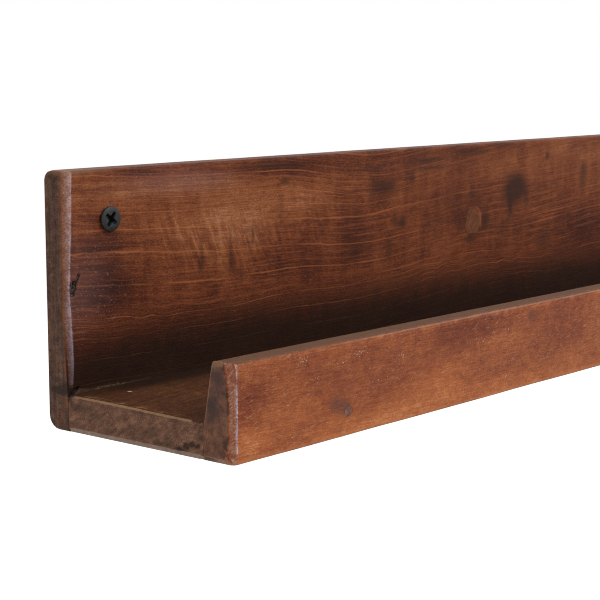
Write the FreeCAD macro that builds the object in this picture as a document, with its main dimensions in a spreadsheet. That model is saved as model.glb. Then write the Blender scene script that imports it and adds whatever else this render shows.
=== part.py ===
import FreeCAD, Part
import os
import Sketcher
from FreeCAD import Placement, Rotation, Vector

# Narrow wall ledge for pictures, made of three boards of oiled reclaimed hardwood.
# A back board lies on the wall, a shelf board is glued to its foot, and a lip closes the front.
# Two black bugle-head screws hang it. Screws driven from behind hold the shelf board to the back,
# and headless pins hold the lip, each hidden under a dot of filler.
# Frame: +X along the ledge to the right, +Y into the wall, +Z up.
# The origin is on the wall plane, midway between the two wall screws and at their height.
# Each board is drawn in its own frame, whose zero is its rear face and its underside.

SIZES = {
    # All three boards
    "ledge_length": 600.0,
    "arris_ease": 0.6,
    "cut_overrun": 2.0,
    # Back board
    "back_height": 80.0,
    "back_thick": 9.0,
    "back_top_round": 3.4,
    "back_foot_round": 4.4,
    "back_front_round": 1.0,
    "bevel_top_depth": 1.7,
    "bevel_belly_depth": 1.6,
    "bevel_belly_height": 40.0,
    "bevel_foot_depth": 0.4,
    "bevel_foot_height": 13.5,
    # Shelf board
    "shelf_width": 57.0,
    "shelf_thick": 11.4,
    "shelf_worn_run": 1.1,
    "shelf_worn_depth": 0.8,
    # Front lip
    "lip_height": 29.4,
    "lip_thick": 12.0,
    "lip_top_thick": 8.5,
    "lip_knee_height": 12.4,
    "lip_knee_round": 9.0,
    "lip_inner_round": 1.6,
    "lip_outer_round": 1.3,
    "lip_foot_round": 0.9,
    "lip_bevel_depth": 2.3,
    "lip_bevel_height": 16.3,
    "lip_bevel_top_depth": 4.4,
    # Lower arris of the ends of the shelf board and the lip
    "foot_rise": 1.4,
    "foot_run": 0.7,
    # Wall screws
    "wall_screw_inset": 18.3,
    "wall_screw_drop": 15.6,
    "countersink_angle": 90.0,
    "wall_head_width": 7.9,
    "wall_head_rim": 0.6,
    "wall_head_proud": 1.1,
    "wall_neck_width": 2.8,
    "wall_neck_clearance": 0.6,
    "wall_thread_width": 3.5,
    "wall_thread_length": 7.4,
    "wall_point_length": 4.5,
    "wall_recess_depth": 2.3,
    "wall_recess_turn": 55.0,
    # Screws from the back board into the shelf board
    "shelf_screw_inset": 60.0,
    "shelf_screw_height": 6.0,
    "shelf_head_width": 6.0,
    "shelf_head_rim": 0.3,
    "shelf_head_sunk": 0.6,
    "shelf_thread_width": 3.0,
    "shelf_thread_clearance": 0.2,
    "shelf_thread_length": 17.0,
    "shelf_point_length": 4.0,
    "shelf_recess_depth": 1.6,
    # Pins from the lip into the shelf board
    "pin_inset": 51.0,
    "pin_height": 7.8,
    "pin_width": 1.6,
    "pin_length": 30.0,
    "pin_filler_width": 3.4,
    "pin_filler_depth": 2.0,
    # Filler let into the face of the back board
    "knot_offset": 83.3,
    "knot_height": 49.1,
    "knot_top_width": 6.8,
    "knot_foot_width": 10.6,
    "knot_tall": 9.8,
    "knot_deep": 3.0,
    "knot_round": 2.3,
}

FORMULAS = {
    "screw_height": "=back_height - wall_screw_drop",
    "half_length": "=ledge_length / 2",
    "wall_screw_reach": "=half_length - wall_screw_inset",
    "lip_rear": "=back_thick + shelf_width",
    "ledge_depth": "=lip_rear + lip_thick",
    "shelf_screw_reach": "=half_length - shelf_screw_inset",
    "pin_reach": "=half_length - pin_inset",
    "cone_share": "=tan(countersink_angle / 2)",
    "wall_seat_width": "=wall_head_width - 2 * cone_share * (wall_head_proud - wall_head_rim)",
    "wall_hole_width": "=wall_neck_width + 2 * wall_neck_clearance",
    "shelf_seat_width": "=shelf_head_width + 2 * cone_share * (shelf_head_sunk + shelf_head_rim)",
    "shelf_hole_width": "=shelf_thread_width + 2 * shelf_thread_clearance",
}

SHELF_SCREW_COUNT = 4
SHELF_SCREW_STEPS = SHELF_SCREW_COUNT - 1
PIN_COUNT = 3
PIN_STEPS = PIN_COUNT - 1
QUARTER_TURN = 90.0
HALF_TURN = 180.0
FULL_TURN = 360.0
# How far the pared bevels run along the ledge, as shares of their depth
BACK_BEVEL_RUN_SHARE = 1.5
LIP_BEVEL_RUN_SHARE = 0.5
# The cross recess: its width and the width of its arms, as shares of the head
RECESS_SPAN_SHARE = 0.58
RECESS_ARM_SHARE = 0.125
# How far the walls of a wall screw's recess lean in, in degrees
RECESS_LEAN = 12.0
# The curve under a bugle head, as a share of the room round its neck
BUGLE_ROUND_SHARE = 3.2
# Two points closer than this share of the ledge's length are one point
TOUCH_SHARE = 1e-7

doc = FreeCAD.newDocument("picture_ledge")
sheet = doc.addObject("Spreadsheet::Sheet", "Sizes")


def fill_sheet():
    """Write each size and each derived size on a row of its own: name, value and alias."""
    rows = list(SIZES.items()) + list(FORMULAS.items())
    for row, (alias, value) in enumerate(rows, start=1):
        sheet.set("A%d" % row, alias)
        sheet.setAlias("B%d" % row, alias)
        sheet.set("B%d" % row, str(value))
    doc.recompute()


def size(formula):
    """The value of a formula in the sheet's names."""
    return float(sheet.evalExpression(formula))


def sized(formula):
    """The same formula with each name led back to the sheet, for use outside it."""
    names = sorted(list(SIZES) + list(FORMULAS), key=len, reverse=True)
    words = formula.replace("(", " ( ").replace(")", " ) ").split()
    return " ".join("Sizes." + word if word in names else word for word in words)


def new_body(label, across="0", back="0", up="0"):
    """A body with its own label, placed by three formulas."""
    body = doc.addObject("PartDesign::Body", label)
    body.Label = label
    for axis, formula in zip("xyz", (across, back, up)):
        body.setExpression(".Placement.Base." + axis, sized(formula))
    return body


def origin_plane(body, role):
    return next(plane for plane in body.Origin.OriginFeatures if plane.Role == role)


def new_sketch(body, name, role, offset="0"):
    """An empty sketch on one of the body's own planes, lifted off it by a formula."""
    sketch = body.newObject("Sketcher::SketchObject", name)
    sketch.AttachmentSupport = (origin_plane(body, role), [""])
    sketch.MapMode = "FlatFace"
    sketch.setExpression(".AttachmentOffset.Base.z", sized(offset))
    return sketch


def tie(sketch, kind, geometry, point, formula):
    """Hold one point at a formula's distance from the sketch's origin, along X or Y."""
    if formula == "0":
        axis = -2 if kind == "DistanceX" else -1
        sketch.addConstraint(Sketcher.Constraint("PointOnObject", geometry, point, axis))
        return
    value = size(formula)
    index = sketch.addConstraint(Sketcher.Constraint(kind, -1, 1, geometry, point, value))
    sketch.setExpression("Constraints[%d]" % index, sized(formula))


def draw_outline(sketch, corners):
    """A closed run of straight lines through corners given as pairs of formulas."""
    first = sketch.GeometryCount
    places = [Vector(size(across), size(up), 0) for across, up in corners]
    for start, end in zip(places, places[1:] + places[:1]):
        sketch.addGeometry(Part.LineSegment(start, end), False)
    for index in range(len(corners)):
        following = first + (index + 1) % len(corners)
        sketch.addConstraint(Sketcher.Constraint("Coincident", first + index, 2, following, 1))
    for index, (across, up) in enumerate(corners):
        tie(sketch, "DistanceX", first + index, 1, across)
        tie(sketch, "DistanceY", first + index, 1, up)


def round_corner(sketch, line, radius):
    """Round the corner between a line and the one before it, and keep the corner as a point."""
    arc = sketch.GeometryCount
    middles = [(sketch.getPoint(index, 1) + sketch.getPoint(index, 2)) / 2
               for index in (line - 1, line)]
    trim = True
    keep_corner = True
    sketch.fillet(line - 1, line, middles[0], middles[1], size(radius), trim, keep_corner)
    held = sketch.addConstraint(Sketcher.Constraint("Radius", arc, size(radius)))
    sketch.setExpression("Constraints[%d]" % held, sized(radius))


def draw_circle(sketch, across, up, width):
    """A circle whose centre and width are formulas."""
    centre = Vector(size(across), size(up), 0)
    circle = Part.Circle(centre, Vector(0, 0, 1), size(width) / 2)
    index = sketch.addGeometry(circle, False)
    tie(sketch, "DistanceX", index, 3, across)
    tie(sketch, "DistanceY", index, 3, up)
    held = sketch.addConstraint(Sketcher.Constraint("Diameter", index, size(width)))
    sketch.setExpression("Constraints[%d]" % held, sized(width))


def add_feature(body, kind, name, sketch=None):
    feature = body.newObject("PartDesign::" + kind, name)
    if sketch is not None:
        feature.Profile = sketch
    return feature


def pad_along_ledge(body, sketch, name):
    """Run a section along the whole ledge, half to each side."""
    pad = add_feature(body, "Pad", name, sketch)
    pad.SideType = "Symmetric"
    pad.setExpression("Length", sized("ledge_length"))
    doc.recompute()
    return pad


def touches(place):
    """A test for the edge that passes through a place given as three formulas."""
    vertex = Part.Vertex(*[size(formula) for formula in place])
    reach = TOUCH_SHARE * size("ledge_length")
    return lambda edge: edge.distToShape(vertex)[0] < reach


def on_end_face(edge):
    """True for an edge that lies wholly in either end of the ledge."""
    reach = TOUCH_SHARE * size("ledge_length")
    half = size("half_length")
    box = edge.BoundBox
    return box.XLength < reach and abs(abs(box.Center.x) - half) < reach


def edge_names(feature, test):
    edges = enumerate(feature.Shape.Edges, start=1)
    return ["Edge%d" % index for index, edge in edges if test(edge)]


def round_edges(body, base, name, places, radius):
    """Round the edges that pass through the given places."""
    tests = [touches(place) for place in places]
    fillet = add_feature(body, "Fillet", name)
    fillet.Base = (base, edge_names(base, lambda edge: any(test(edge) for test in tests)))
    fillet.setExpression("Radius", sized(radius))
    doc.recompute()
    return fillet


def ease_ends(body, base, name, keep):
    """Take the sharpness off the edges round both ends, apart from those that a test keeps."""
    chosen = edge_names(base, lambda edge: on_end_face(edge) and not keep(edge))
    ease = add_feature(body, "Chamfer", name)
    ease.Base = (base, chosen)
    ease.setExpression("Size", sized("arris_ease"))
    doc.recompute()
    return ease


def bevel_ends(body, name, face, run_share, sections):
    """Pare the upright front edge at both ends, by a depth given at each height.

    The outline of the cut is drawn on the end of the board and carried slantwise through the
    front edge, so each stretch of the bevel is flat and runs along the ledge by a steady share
    of its depth. It starts outside the wood, set back by what the slant gains on the way in.
    """
    sketch = new_sketch(body, name + "_outline", "YZ_Plane", "0 - half_length - cut_overrun")
    setback = "cut_overrun / %g" % run_share
    corners = [("0 - %s + %s + %s" % (face, depth, setback), height) for height, depth in sections]
    outside = "0 - %s - cut_overrun" % face
    corners.append((outside, sections[-1][0]))
    corners.append((outside, sections[0][0]))
    draw_outline(sketch, corners)
    cut = add_feature(body, "Pocket", name, sketch)
    cut.UseCustomVector = True
    cut.Direction = Vector(run_share, -1, 0)
    cut.AlongSketchNormal = True
    cut.setExpression("Length", sized("cut_overrun * 2 + %s * %g" % (sections[0][1], run_share)))
    doc.recompute()
    return mirror_to_right(body, cut, name + "_right")


def plane_foot(body, name):
    """Plane the lower arris off both ends, steeply, so the end face starts above the underside."""
    sketch = new_sketch(body, name + "_outline", "XZ_Plane")
    end = "0 - half_length"
    draw_outline(sketch, [
        (end + " - cut_overrun", "foot_rise + cut_overrun * foot_rise / foot_run"),
        (end + " + foot_run + cut_overrun * foot_run / foot_rise", "0 - cut_overrun"),
        (end + " - cut_overrun", "0 - cut_overrun"),
    ])
    cut = add_feature(body, "Pocket", name, sketch)
    cut.Type = "ThroughAll"
    cut.SideType = "Symmetric"
    doc.recompute()
    return mirror_to_right(body, cut, name + "_right")


def mirror_to_right(body, feature, name):
    """The same cut at the other end of the ledge."""
    twin = add_feature(body, "Mirrored", name)
    twin.Originals = [feature]
    twin.MirrorPlane = (origin_plane(body, "YZ_Plane"), [""])
    body.Tip = twin
    doc.recompute()
    return twin


def repeat_along_ledge(body, feature, name, count, spacing):
    """Copies of a cut at a steady spacing to the right."""
    row = add_feature(body, "LinearPattern", name)
    row.Originals = [feature]
    row.Direction = (origin_plane(body, "X_Axis"), [""])
    row.Mode = "Spacing"
    row.setExpression("Offset", sized(spacing))
    row.Occurrences = count
    body.Tip = row
    doc.recompute()
    return row


def drill(body, name, sketch, width, depth=None, seat=None, reverse=False):
    """Drill holes at a sketch's circles, with a countersunk seat where a width is given."""
    doc.recompute()
    hole = add_feature(body, "Hole", name, sketch)
    doc.recompute()
    hole.Reversed = reverse
    hole.setExpression("Diameter", sized(width))
    hole.DrillPoint = "Flat"
    if depth is None:
        hole.DepthType = "ThroughAll"
    else:
        hole.DepthType = "Dimension"
        hole.setExpression("Depth", sized(depth))
    if seat is not None:
        hole.HoleCutType = "Countersink"
        hole.HoleCutCustomValues = True
        hole.setExpression("HoleCutCountersinkAngle", sized("countersink_angle"))
        hole.setExpression("HoleCutDiameter", sized(seat))
    doc.recompute()
    return hole


def knot_corners():
    """The filler's outline, narrow at the top and wide at the foot, as it lies on the board."""
    left = "0 - knot_offset - knot_%s_width / 2"
    right = "0 - knot_offset + knot_%s_width / 2"
    top = "knot_height + knot_tall / 2"
    foot = "knot_height - knot_tall / 2"
    return [
        (left % "foot", foot),
        (right % "foot", foot),
        (right % "foot", "knot_height"),
        (right % "top", top),
        (left % "top", top),
    ]


def round_knot(body, base, name):
    """Round the filler's corners, or those of its recess, half way down."""
    middle = "0 - back_thick + knot_deep / 2"
    places = [(across, middle, up) for across, up in knot_corners()]
    return round_edges(body, base, name, places, "knot_round")


def make_back_board():
    body = new_body("back_board", up="0 - screw_height")
    section = new_sketch(body, "back_section", "YZ_Plane")
    draw_outline(section, [
        ("0", "0"),
        ("0", "back_height"),
        ("0 - back_thick", "back_height"),
        ("0 - back_thick", "0"),
    ])
    board = pad_along_ledge(body, section, "back_blank")
    edges = [
        ("back_top_rear", ("0", "0", "back_height"), "back_top_round"),
        ("back_foot_rear", ("0", "0", "0"), "back_foot_round"),
        ("back_top_front", ("0", "0 - back_thick", "back_height"), "back_front_round"),
    ]
    for name, place, radius in edges:
        board = round_edges(body, board, name, [place], radius)
    front = size("0 - back_thick")
    board = ease_ends(body, board, "back_ends", lambda edge: edge.BoundBox.YMax <= front)
    bevel_ends(body, "back_bevel", "back_thick", BACK_BEVEL_RUN_SHARE, [
        ("back_height + cut_overrun", "bevel_top_depth"),
        ("bevel_belly_height", "bevel_belly_depth"),
        ("bevel_foot_height", "bevel_foot_depth"),
    ])

    screws = new_sketch(body, "wall_screw_places", "XZ_Plane", "back_thick")
    draw_circle(screws, "0 - wall_screw_reach", "screw_height", "wall_hole_width")
    draw_circle(screws, "wall_screw_reach", "screw_height", "wall_hole_width")
    drill(body, "wall_screw_holes", screws, "wall_hole_width", seat="wall_seat_width")

    hidden = new_sketch(body, "shelf_screw_place", "XZ_Plane")
    draw_circle(hidden, "0 - shelf_screw_reach", "shelf_screw_height", "shelf_hole_width")
    hole = drill(body, "shelf_screw_hole", hidden, "shelf_hole_width",
                 seat="shelf_seat_width", reverse=True)
    spacing = "shelf_screw_reach * 2 / %d" % SHELF_SCREW_STEPS
    repeat_along_ledge(body, hole, "shelf_screw_holes", SHELF_SCREW_COUNT, spacing)

    recess = new_sketch(body, "knot_recess_outline", "XZ_Plane", "back_thick")
    draw_outline(recess, knot_corners())
    pocket = add_feature(body, "Pocket", "knot_recess", recess)
    pocket.setExpression("Length", sized("knot_deep"))
    doc.recompute()
    round_knot(body, pocket, "knot_recess_corners")
    return body


def make_shelf_board():
    body = new_body("shelf_board", up="0 - screw_height")
    section = new_sketch(body, "shelf_section", "YZ_Plane")
    draw_outline(section, [
        ("0 - back_thick", "0"),
        ("0 - back_thick", "shelf_thick"),
        ("0 - lip_rear", "shelf_thick"),
        ("0 - lip_rear", "0"),
    ])
    board = pad_along_ledge(body, section, "shelf_blank")
    top = size("shelf_thick")
    worn = add_feature(body, "Chamfer", "shelf_worn_ends")
    chosen = edge_names(board, lambda edge: on_end_face(edge) and edge.BoundBox.ZMin > top / 2)
    worn.Base = (board, chosen)
    worn.ChamferType = "Two distances"
    worn.setExpression("Size", sized("shelf_worn_depth"))
    worn.setExpression("Size2", sized("shelf_worn_run"))
    doc.recompute()
    plane_foot(body, "shelf_foot")

    rear = new_sketch(body, "shelf_pilot_place", "XZ_Plane", "back_thick")
    draw_circle(rear, "0 - shelf_screw_reach", "shelf_screw_height", "shelf_thread_width")
    pilot = drill(body, "shelf_pilot", rear, "shelf_thread_width",
                  depth="shelf_thread_length + shelf_point_length", reverse=True)
    spacing = "shelf_screw_reach * 2 / %d" % SHELF_SCREW_STEPS
    repeat_along_ledge(body, pilot, "shelf_pilots", SHELF_SCREW_COUNT, spacing)

    front = new_sketch(body, "pin_hole_place", "XZ_Plane", "lip_rear")
    draw_circle(front, "0 - pin_reach", "pin_height", "pin_width")
    bore = drill(body, "pin_hole", front, "pin_width",
                 depth="pin_length - ( lip_thick - pin_filler_depth )")
    spacing = "pin_reach * 2 / %d" % PIN_STEPS
    repeat_along_ledge(body, bore, "pin_holes", PIN_COUNT, spacing)
    return body


def make_front_lip():
    body = new_body("front_lip", up="0 - screw_height")
    section = new_sketch(body, "lip_section", "YZ_Plane")
    draw_outline(section, [
        ("0 - lip_rear", "0"),
        ("0 - lip_rear", "lip_knee_height"),
        ("lip_top_thick - ledge_depth", "lip_height"),
        ("0 - ledge_depth", "lip_height"),
        ("0 - ledge_depth", "0"),
    ])
    board = pad_along_ledge(body, section, "lip_blank")
    edges = [
        ("lip_knee", ("0", "0 - lip_rear", "lip_knee_height"), "lip_knee_round"),
        ("lip_top_rear", ("0", "lip_top_thick - ledge_depth", "lip_height"), "lip_inner_round"),
        ("lip_top_front", ("0", "0 - ledge_depth", "lip_height"), "lip_outer_round"),
        ("lip_foot_front", ("0", "0 - ledge_depth", "0"), "lip_foot_round"),
    ]
    for name, place, radius in edges:
        board = round_edges(body, board, name, [place], radius)
    rear = size("0 - lip_rear")
    reach = TOUCH_SHARE * size("ledge_length")

    def on_joint(edge):
        return edge.BoundBox.YMin > rear - reach

    ease_ends(body, board, "lip_ends", on_joint)
    bevel_ends(body, "lip_bevel", "ledge_depth", LIP_BEVEL_RUN_SHARE, [
        ("lip_height + cut_overrun", "lip_bevel_top_depth"),
        ("lip_bevel_height", "lip_bevel_depth"),
        ("0 - cut_overrun", "lip_bevel_depth"),
    ])
    plane_foot(body, "lip_foot")

    face = new_sketch(body, "pin_place", "XZ_Plane", "ledge_depth")
    draw_circle(face, "0 - pin_reach", "pin_height", "pin_width")
    bore = drill(body, "pin_bore", face, "pin_width")
    spacing = "pin_reach * 2 / %d" % PIN_STEPS
    repeat_along_ledge(body, bore, "pin_bores", PIN_COUNT, spacing)
    cover = new_sketch(body, "pin_filler_place", "XZ_Plane", "ledge_depth")
    draw_circle(cover, "0 - pin_reach", "pin_height", "pin_filler_width")
    cup = drill(body, "pin_filler_cup", cover, "pin_filler_width", depth="pin_filler_depth")
    repeat_along_ledge(body, cup, "pin_filler_cups", PIN_COUNT, spacing)
    return body


def cut_cross(body, face, width, depth, turn, lean):
    """Sink a cross recess into a screw head, with walls that may lean in towards its floor."""
    for index, quarter in enumerate((0, QUARTER_TURN)):
        slot = new_sketch(body, "recess_slot_%d" % index, "XZ_Plane", face)
        slot.AttachmentOffset = Placement(Vector(0, 0, size(face)),
                                          Rotation(Vector(0, 0, 1), turn + quarter))
        half_span = "%s * %g / 2" % (width, RECESS_SPAN_SHARE)
        half_arm = "%s * %g / 2" % (width, RECESS_ARM_SHARE)
        draw_outline(slot, [
            ("0 - %s" % half_span, "0 - %s" % half_arm),
            (half_span, "0 - %s" % half_arm),
            (half_span, half_arm),
            ("0 - %s" % half_span, half_arm),
        ])
        pocket = add_feature(body, "Pocket", "recess_%d" % index, slot)
        pocket.setExpression("Length", sized(depth))
        pocket.TaperAngle = -lean
        doc.recompute()


def make_screw(label, kind, head_face, thread_start, turn, place, hidden=False):
    """A countersunk screw turned about its own Y axis, head towards -Y.

    head_face and thread_start are distances in front of the wall plane, as formulas. The head
    has a short rim, then a cone, and the thread is its outer envelope with a point.
    A screw that shows has a bare neck, the curve of a bugle head between that and the cone, and
    a recess that leans in. A hidden one is threaded up to its head, and is turned round to be
    driven from the wall's side.
    """
    head = kind + "_head_width / 2"
    thread = kind + "_thread_width / 2"
    neck = thread if hidden else kind + "_neck_width / 2"
    rim_end = "%s - %s_head_rim" % (head_face, kind)
    cone_end = "%s - ( %s - %s ) / cone_share" % (rim_end, head, neck)
    thread_end = "%s - %s_thread_length" % (thread_start, kind)
    tip = "%s - %s_point_length" % (thread_end, kind)

    def towards_front(formula):
        return "0 - ( %s )" % formula

    body = new_body(label, *place)
    corners = [
        ("0", towards_front(head_face)),
        (head, towards_front(head_face)),
        (head, towards_front(rim_end)),
        (neck, towards_front(cone_end)),
    ]
    neck_line = len(corners) - 1
    if not hidden:
        corners.append((neck, towards_front(thread_start)))
        corners.append((thread, towards_front(thread_start)))
    corners.append((thread, towards_front(thread_end)))
    corners.append(("0", towards_front(tip)))
    profile = new_sketch(body, "turning_profile", "XY_Plane")
    draw_outline(profile, corners)
    if not hidden:
        round_corner(profile, neck_line, "%s_neck_clearance * %g" % (kind, BUGLE_ROUND_SHARE))
    turned = add_feature(body, "Revolution", "turned_blank", profile)
    turned.ReferenceAxis = (profile, ["V_Axis"])
    turned.Angle = FULL_TURN
    doc.recompute()
    lean = 0 if hidden else RECESS_LEAN
    cut_cross(body, head_face, kind + "_head_width", kind + "_recess_depth", turn, lean)
    if hidden:
        body.Placement.Rotation = Rotation(Vector(0, 0, 1), HALF_TURN)
    return body


def make_wall_screws():
    """Two bugle-head screws. The thread starts at the wall plane, where the board ends."""
    face = "back_thick + wall_head_proud"
    turn = SIZES["wall_recess_turn"]
    left = make_screw("wall_screw_left", "wall", face, "0", turn,
                      ("0 - wall_screw_reach", "0", "0"))
    right = make_screw("wall_screw_right", "wall", face, "0", turn / 2,
                       ("wall_screw_reach", "0", "0"))
    return [left, right]


def make_shelf_screws():
    """A row of countersunk screws, heads in the rear face, threads in the shelf board.

    Each is drawn like a wall screw and turned round, so its distances count from the rear face
    to the front and change sign.
    """
    screws = []
    for index in range(SHELF_SCREW_COUNT):
        share = 2 * index / SHELF_SCREW_STEPS - 1
        place = ("shelf_screw_reach * %.9g" % share, "0", "shelf_screw_height - screw_height")
        label = "shelf_screw_%d" % (index + 1)
        turn = HALF_TURN * index / SHELF_SCREW_COUNT
        screws.append(make_screw(label, "shelf", "0 - shelf_head_sunk", "0 - back_thick",
                                 turn, place, hidden=True))
    return screws


def turned_rod(label, width, front, length, place):
    """A plain round rod along Y that starts at a distance in front of the wall plane."""
    body = new_body(label, *place)
    section = new_sketch(body, "rod_section", "XZ_Plane", front)
    draw_circle(section, "0", "0", width)
    rod = add_feature(body, "Pad", "rod", section)
    rod.Reversed = True
    rod.setExpression("Length", sized(length))
    doc.recompute()
    return body


def make_lip_pins():
    """Headless pins driven below the face of the lip, and the dots of filler over them."""
    pieces = []
    for index in range(PIN_COUNT):
        share = 2 * index / PIN_STEPS - 1
        place = ("pin_reach * %g" % share, "0", "pin_height - screw_height")
        pieces.append(turned_rod("lip_pin_%d" % (index + 1), "pin_width",
                                 "ledge_depth - pin_filler_depth", "pin_length", place))
        pieces.append(turned_rod("lip_pin_filler_%d" % (index + 1), "pin_filler_width",
                                 "ledge_depth", "pin_filler_depth", place))
    return pieces


def make_knot_filler():
    body = new_body("knot_filler", up="0 - screw_height")
    outline = new_sketch(body, "knot_outline", "XZ_Plane", "back_thick")
    draw_outline(outline, knot_corners())
    slug = add_feature(body, "Pad", "knot_slug", outline)
    slug.Reversed = True
    slug.setExpression("Length", sized("knot_deep"))
    doc.recompute()
    round_knot(body, slug, "knot_corners")
    return body


def check(bodies):
    """Stop if any object failed to compute, or any sub-part is not one sound solid."""
    for item in doc.Objects:
        if "Invalid" in item.State or "Error" in item.State:
            raise RuntimeError("%s did not compute: %s" % (item.Label, item.State))
    for body in bodies:
        if body.Shape.isNull() or not body.Shape.isValid() or len(body.Shape.Solids) != 1:
            raise RuntimeError("%s is not one sound solid" % body.Label)


fill_sheet()
sub_parts = [make_back_board(), make_shelf_board(), make_front_lip(), make_knot_filler()]
sub_parts += make_wall_screws()
sub_parts += make_shelf_screws()
sub_parts += make_lip_pins()
doc.recompute()
check(sub_parts)
os.makedirs("parts", exist_ok=True)
for sub_part in sub_parts:
    sub_part.Shape.exportStep("parts/%s.step" % sub_part.Label)
    box = sub_part.Shape.BoundBox
    print("%-18s volume %9.1f  x %7.1f %7.1f  y %6.1f %6.1f  z %6.1f %6.1f" % (
        sub_part.Label, sub_part.Shape.Volume,
        box.XMin, box.XMax, box.YMin, box.YMax, box.ZMin, box.ZMax))
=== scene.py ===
# %% [markdown]
# A picture ledge in reclaimed hardwood: how its looks are made.
#
# The ledge is three boards. A tall back board lies on the wall, a shelf board is glued to its
# foot, and a raised lip closes the front. Two black screws hang it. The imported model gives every
# piece its real size and place, and this script gives the wood its wear, its grain and its light.
#
# All shapes are worked out in millimetres, measured as a joiner would: `along` from the left end,
# `y` towards the wall with the wall at zero, and `up` from the underside. They become metres, in
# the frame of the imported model, only when a mesh is made.

import math

import bpy
import bmesh
import numpy as np
from mathutils import Matrix, Vector


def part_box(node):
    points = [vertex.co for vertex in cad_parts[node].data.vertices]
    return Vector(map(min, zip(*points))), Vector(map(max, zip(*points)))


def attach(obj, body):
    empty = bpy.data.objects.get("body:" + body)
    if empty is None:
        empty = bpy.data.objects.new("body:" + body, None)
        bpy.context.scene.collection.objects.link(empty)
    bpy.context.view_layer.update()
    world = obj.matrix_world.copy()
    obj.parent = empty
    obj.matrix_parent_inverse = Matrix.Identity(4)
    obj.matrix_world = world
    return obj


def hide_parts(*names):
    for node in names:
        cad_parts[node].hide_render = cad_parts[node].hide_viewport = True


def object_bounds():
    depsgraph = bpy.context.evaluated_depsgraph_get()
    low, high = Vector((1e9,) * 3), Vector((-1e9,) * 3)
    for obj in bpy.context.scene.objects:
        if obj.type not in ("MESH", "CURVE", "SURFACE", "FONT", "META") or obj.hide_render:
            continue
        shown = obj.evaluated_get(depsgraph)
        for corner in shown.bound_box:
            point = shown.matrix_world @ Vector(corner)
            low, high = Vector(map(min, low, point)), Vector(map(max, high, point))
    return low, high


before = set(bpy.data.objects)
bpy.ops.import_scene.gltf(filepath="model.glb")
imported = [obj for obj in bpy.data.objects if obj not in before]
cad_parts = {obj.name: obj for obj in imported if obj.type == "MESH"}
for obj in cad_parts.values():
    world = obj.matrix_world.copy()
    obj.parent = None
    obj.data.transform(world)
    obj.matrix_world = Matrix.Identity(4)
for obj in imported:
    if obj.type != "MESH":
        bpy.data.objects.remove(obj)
CAD_BOX = [list(corner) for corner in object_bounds()]
print("the packed ledge reaches from", CAD_BOX[0], "to", CAD_BOX[1])

# %% [markdown]
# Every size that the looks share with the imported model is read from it, so that nothing has to be
# fitted afterwards. A size that is only a matter of wear or finish has its own name below, where
# it is first used.

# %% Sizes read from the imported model, in millimetres
MM = 0.001
BENCH_ZERO = np.array([CAD_BOX[0][0], 0.0, CAD_BOX[0][2]])


def node_box(name):
    """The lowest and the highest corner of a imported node, in bench millimetres."""
    low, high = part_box(name)
    return (np.array(low) - BENCH_ZERO) / MM, (np.array(high) - BENCH_ZERO) / MM


def middle_of(node):
    """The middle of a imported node, (along, up): half the sum of its two corners."""
    low, high = node_box(node)
    return (low[0] + high[0]) / 2, (low[2] + high[2]) / 2


def numbered(name, count):
    """The names of nodes that are counted from 1."""
    return ["%s_%d" % (name, place + 1) for place in range(count)]


BACK_LOW, BACK_HIGH = node_box("back_board")
LIP_LOW, LIP_HIGH = node_box("front_lip")
LENGTH = BACK_HIGH[0]
BACK_FACE = BACK_LOW[1]
BACK_HEIGHT = BACK_HIGH[2]
SHELF_TOP = node_box("shelf_board")[1][2]
LIP_REAR = LIP_HIGH[1]
LIP_FACE = LIP_LOW[1]
LIP_HEIGHT = LIP_HIGH[2]
WALL_SCREWS = ("wall_screw_left", "wall_screw_right")
SHELF_SCREWS = numbered("shelf_screw", 4)
PINS = numbered("lip_pin", 3)
DOTS = numbered("lip_pin_filler", 3)
print("length %.1f, back %.1f high and %.1f thick" % (LENGTH, BACK_HEIGHT, -BACK_FACE))
print("shelf top at %.1f, lip %.1f high" % (SHELF_TOP, LIP_HEIGHT))

# %% [markdown]
# The camera stands low and to the left, close to the end of the ledge, with a long lens. Its
# place and its three angles were worked out once from the straight edges in the photograph, so
# they are written down as plain values and not moved by eye.

# %% Camera
CAMERA_PLACE = (-0.62627, -0.37979, 0.04714)
CAMERA_YAW = 49.60893
CAMERA_PITCH = 8.223785
CAMERA_ROLL = -0.088171
CAMERA_LENS = 97.5952
SENSOR_WIDTH = 36.0


def camera_axes(yaw, pitch, roll):
    """Right, up and forward as unit vectors: yaw turns from +Y towards +X, pitch looks down."""
    yaw, pitch, roll = (math.radians(angle) for angle in (yaw, pitch, roll))
    forward = Vector((math.sin(yaw) * math.cos(pitch), math.cos(yaw) * math.cos(pitch),
                      -math.sin(pitch)))
    level = Vector((math.cos(yaw), -math.sin(yaw), 0.0))
    upright = level.cross(forward)
    right = math.cos(roll) * level + math.sin(roll) * upright
    return right, -math.sin(roll) * level + math.cos(roll) * upright, forward


def make_camera():
    """A camera whose own x, y and z point to the right, upwards and backwards."""
    right, upright, forward = camera_axes(CAMERA_YAW, CAMERA_PITCH, CAMERA_ROLL)
    lens = bpy.data.cameras.new("camera")
    lens.lens = CAMERA_LENS
    lens.sensor_width = SENSOR_WIDTH
    camera = bpy.data.objects.new("camera", lens)
    turn = Matrix((right, upright, -forward)).transposed().to_4x4()
    camera.matrix_world = Matrix.Translation(CAMERA_PLACE) @ turn
    bpy.context.scene.collection.objects.link(camera)
    bpy.context.scene.camera = camera


make_camera()
print("camera placed, %.0f mm lens" % CAMERA_LENS)

# %% [markdown]
# The stage is a plain pale floor, well below the ledge because the ledge hangs on a wall, and soft
# studio light. The world gives an even light from all sides. To the camera both world and floor
# are pale to white: Light Path tells the shader which rays come from the camera, and only those see
# the glow, so the background costs the wood no extra light. The floor's glow is held back under the
# ledge, where its shadow falls, and grows to full white further out.

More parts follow.
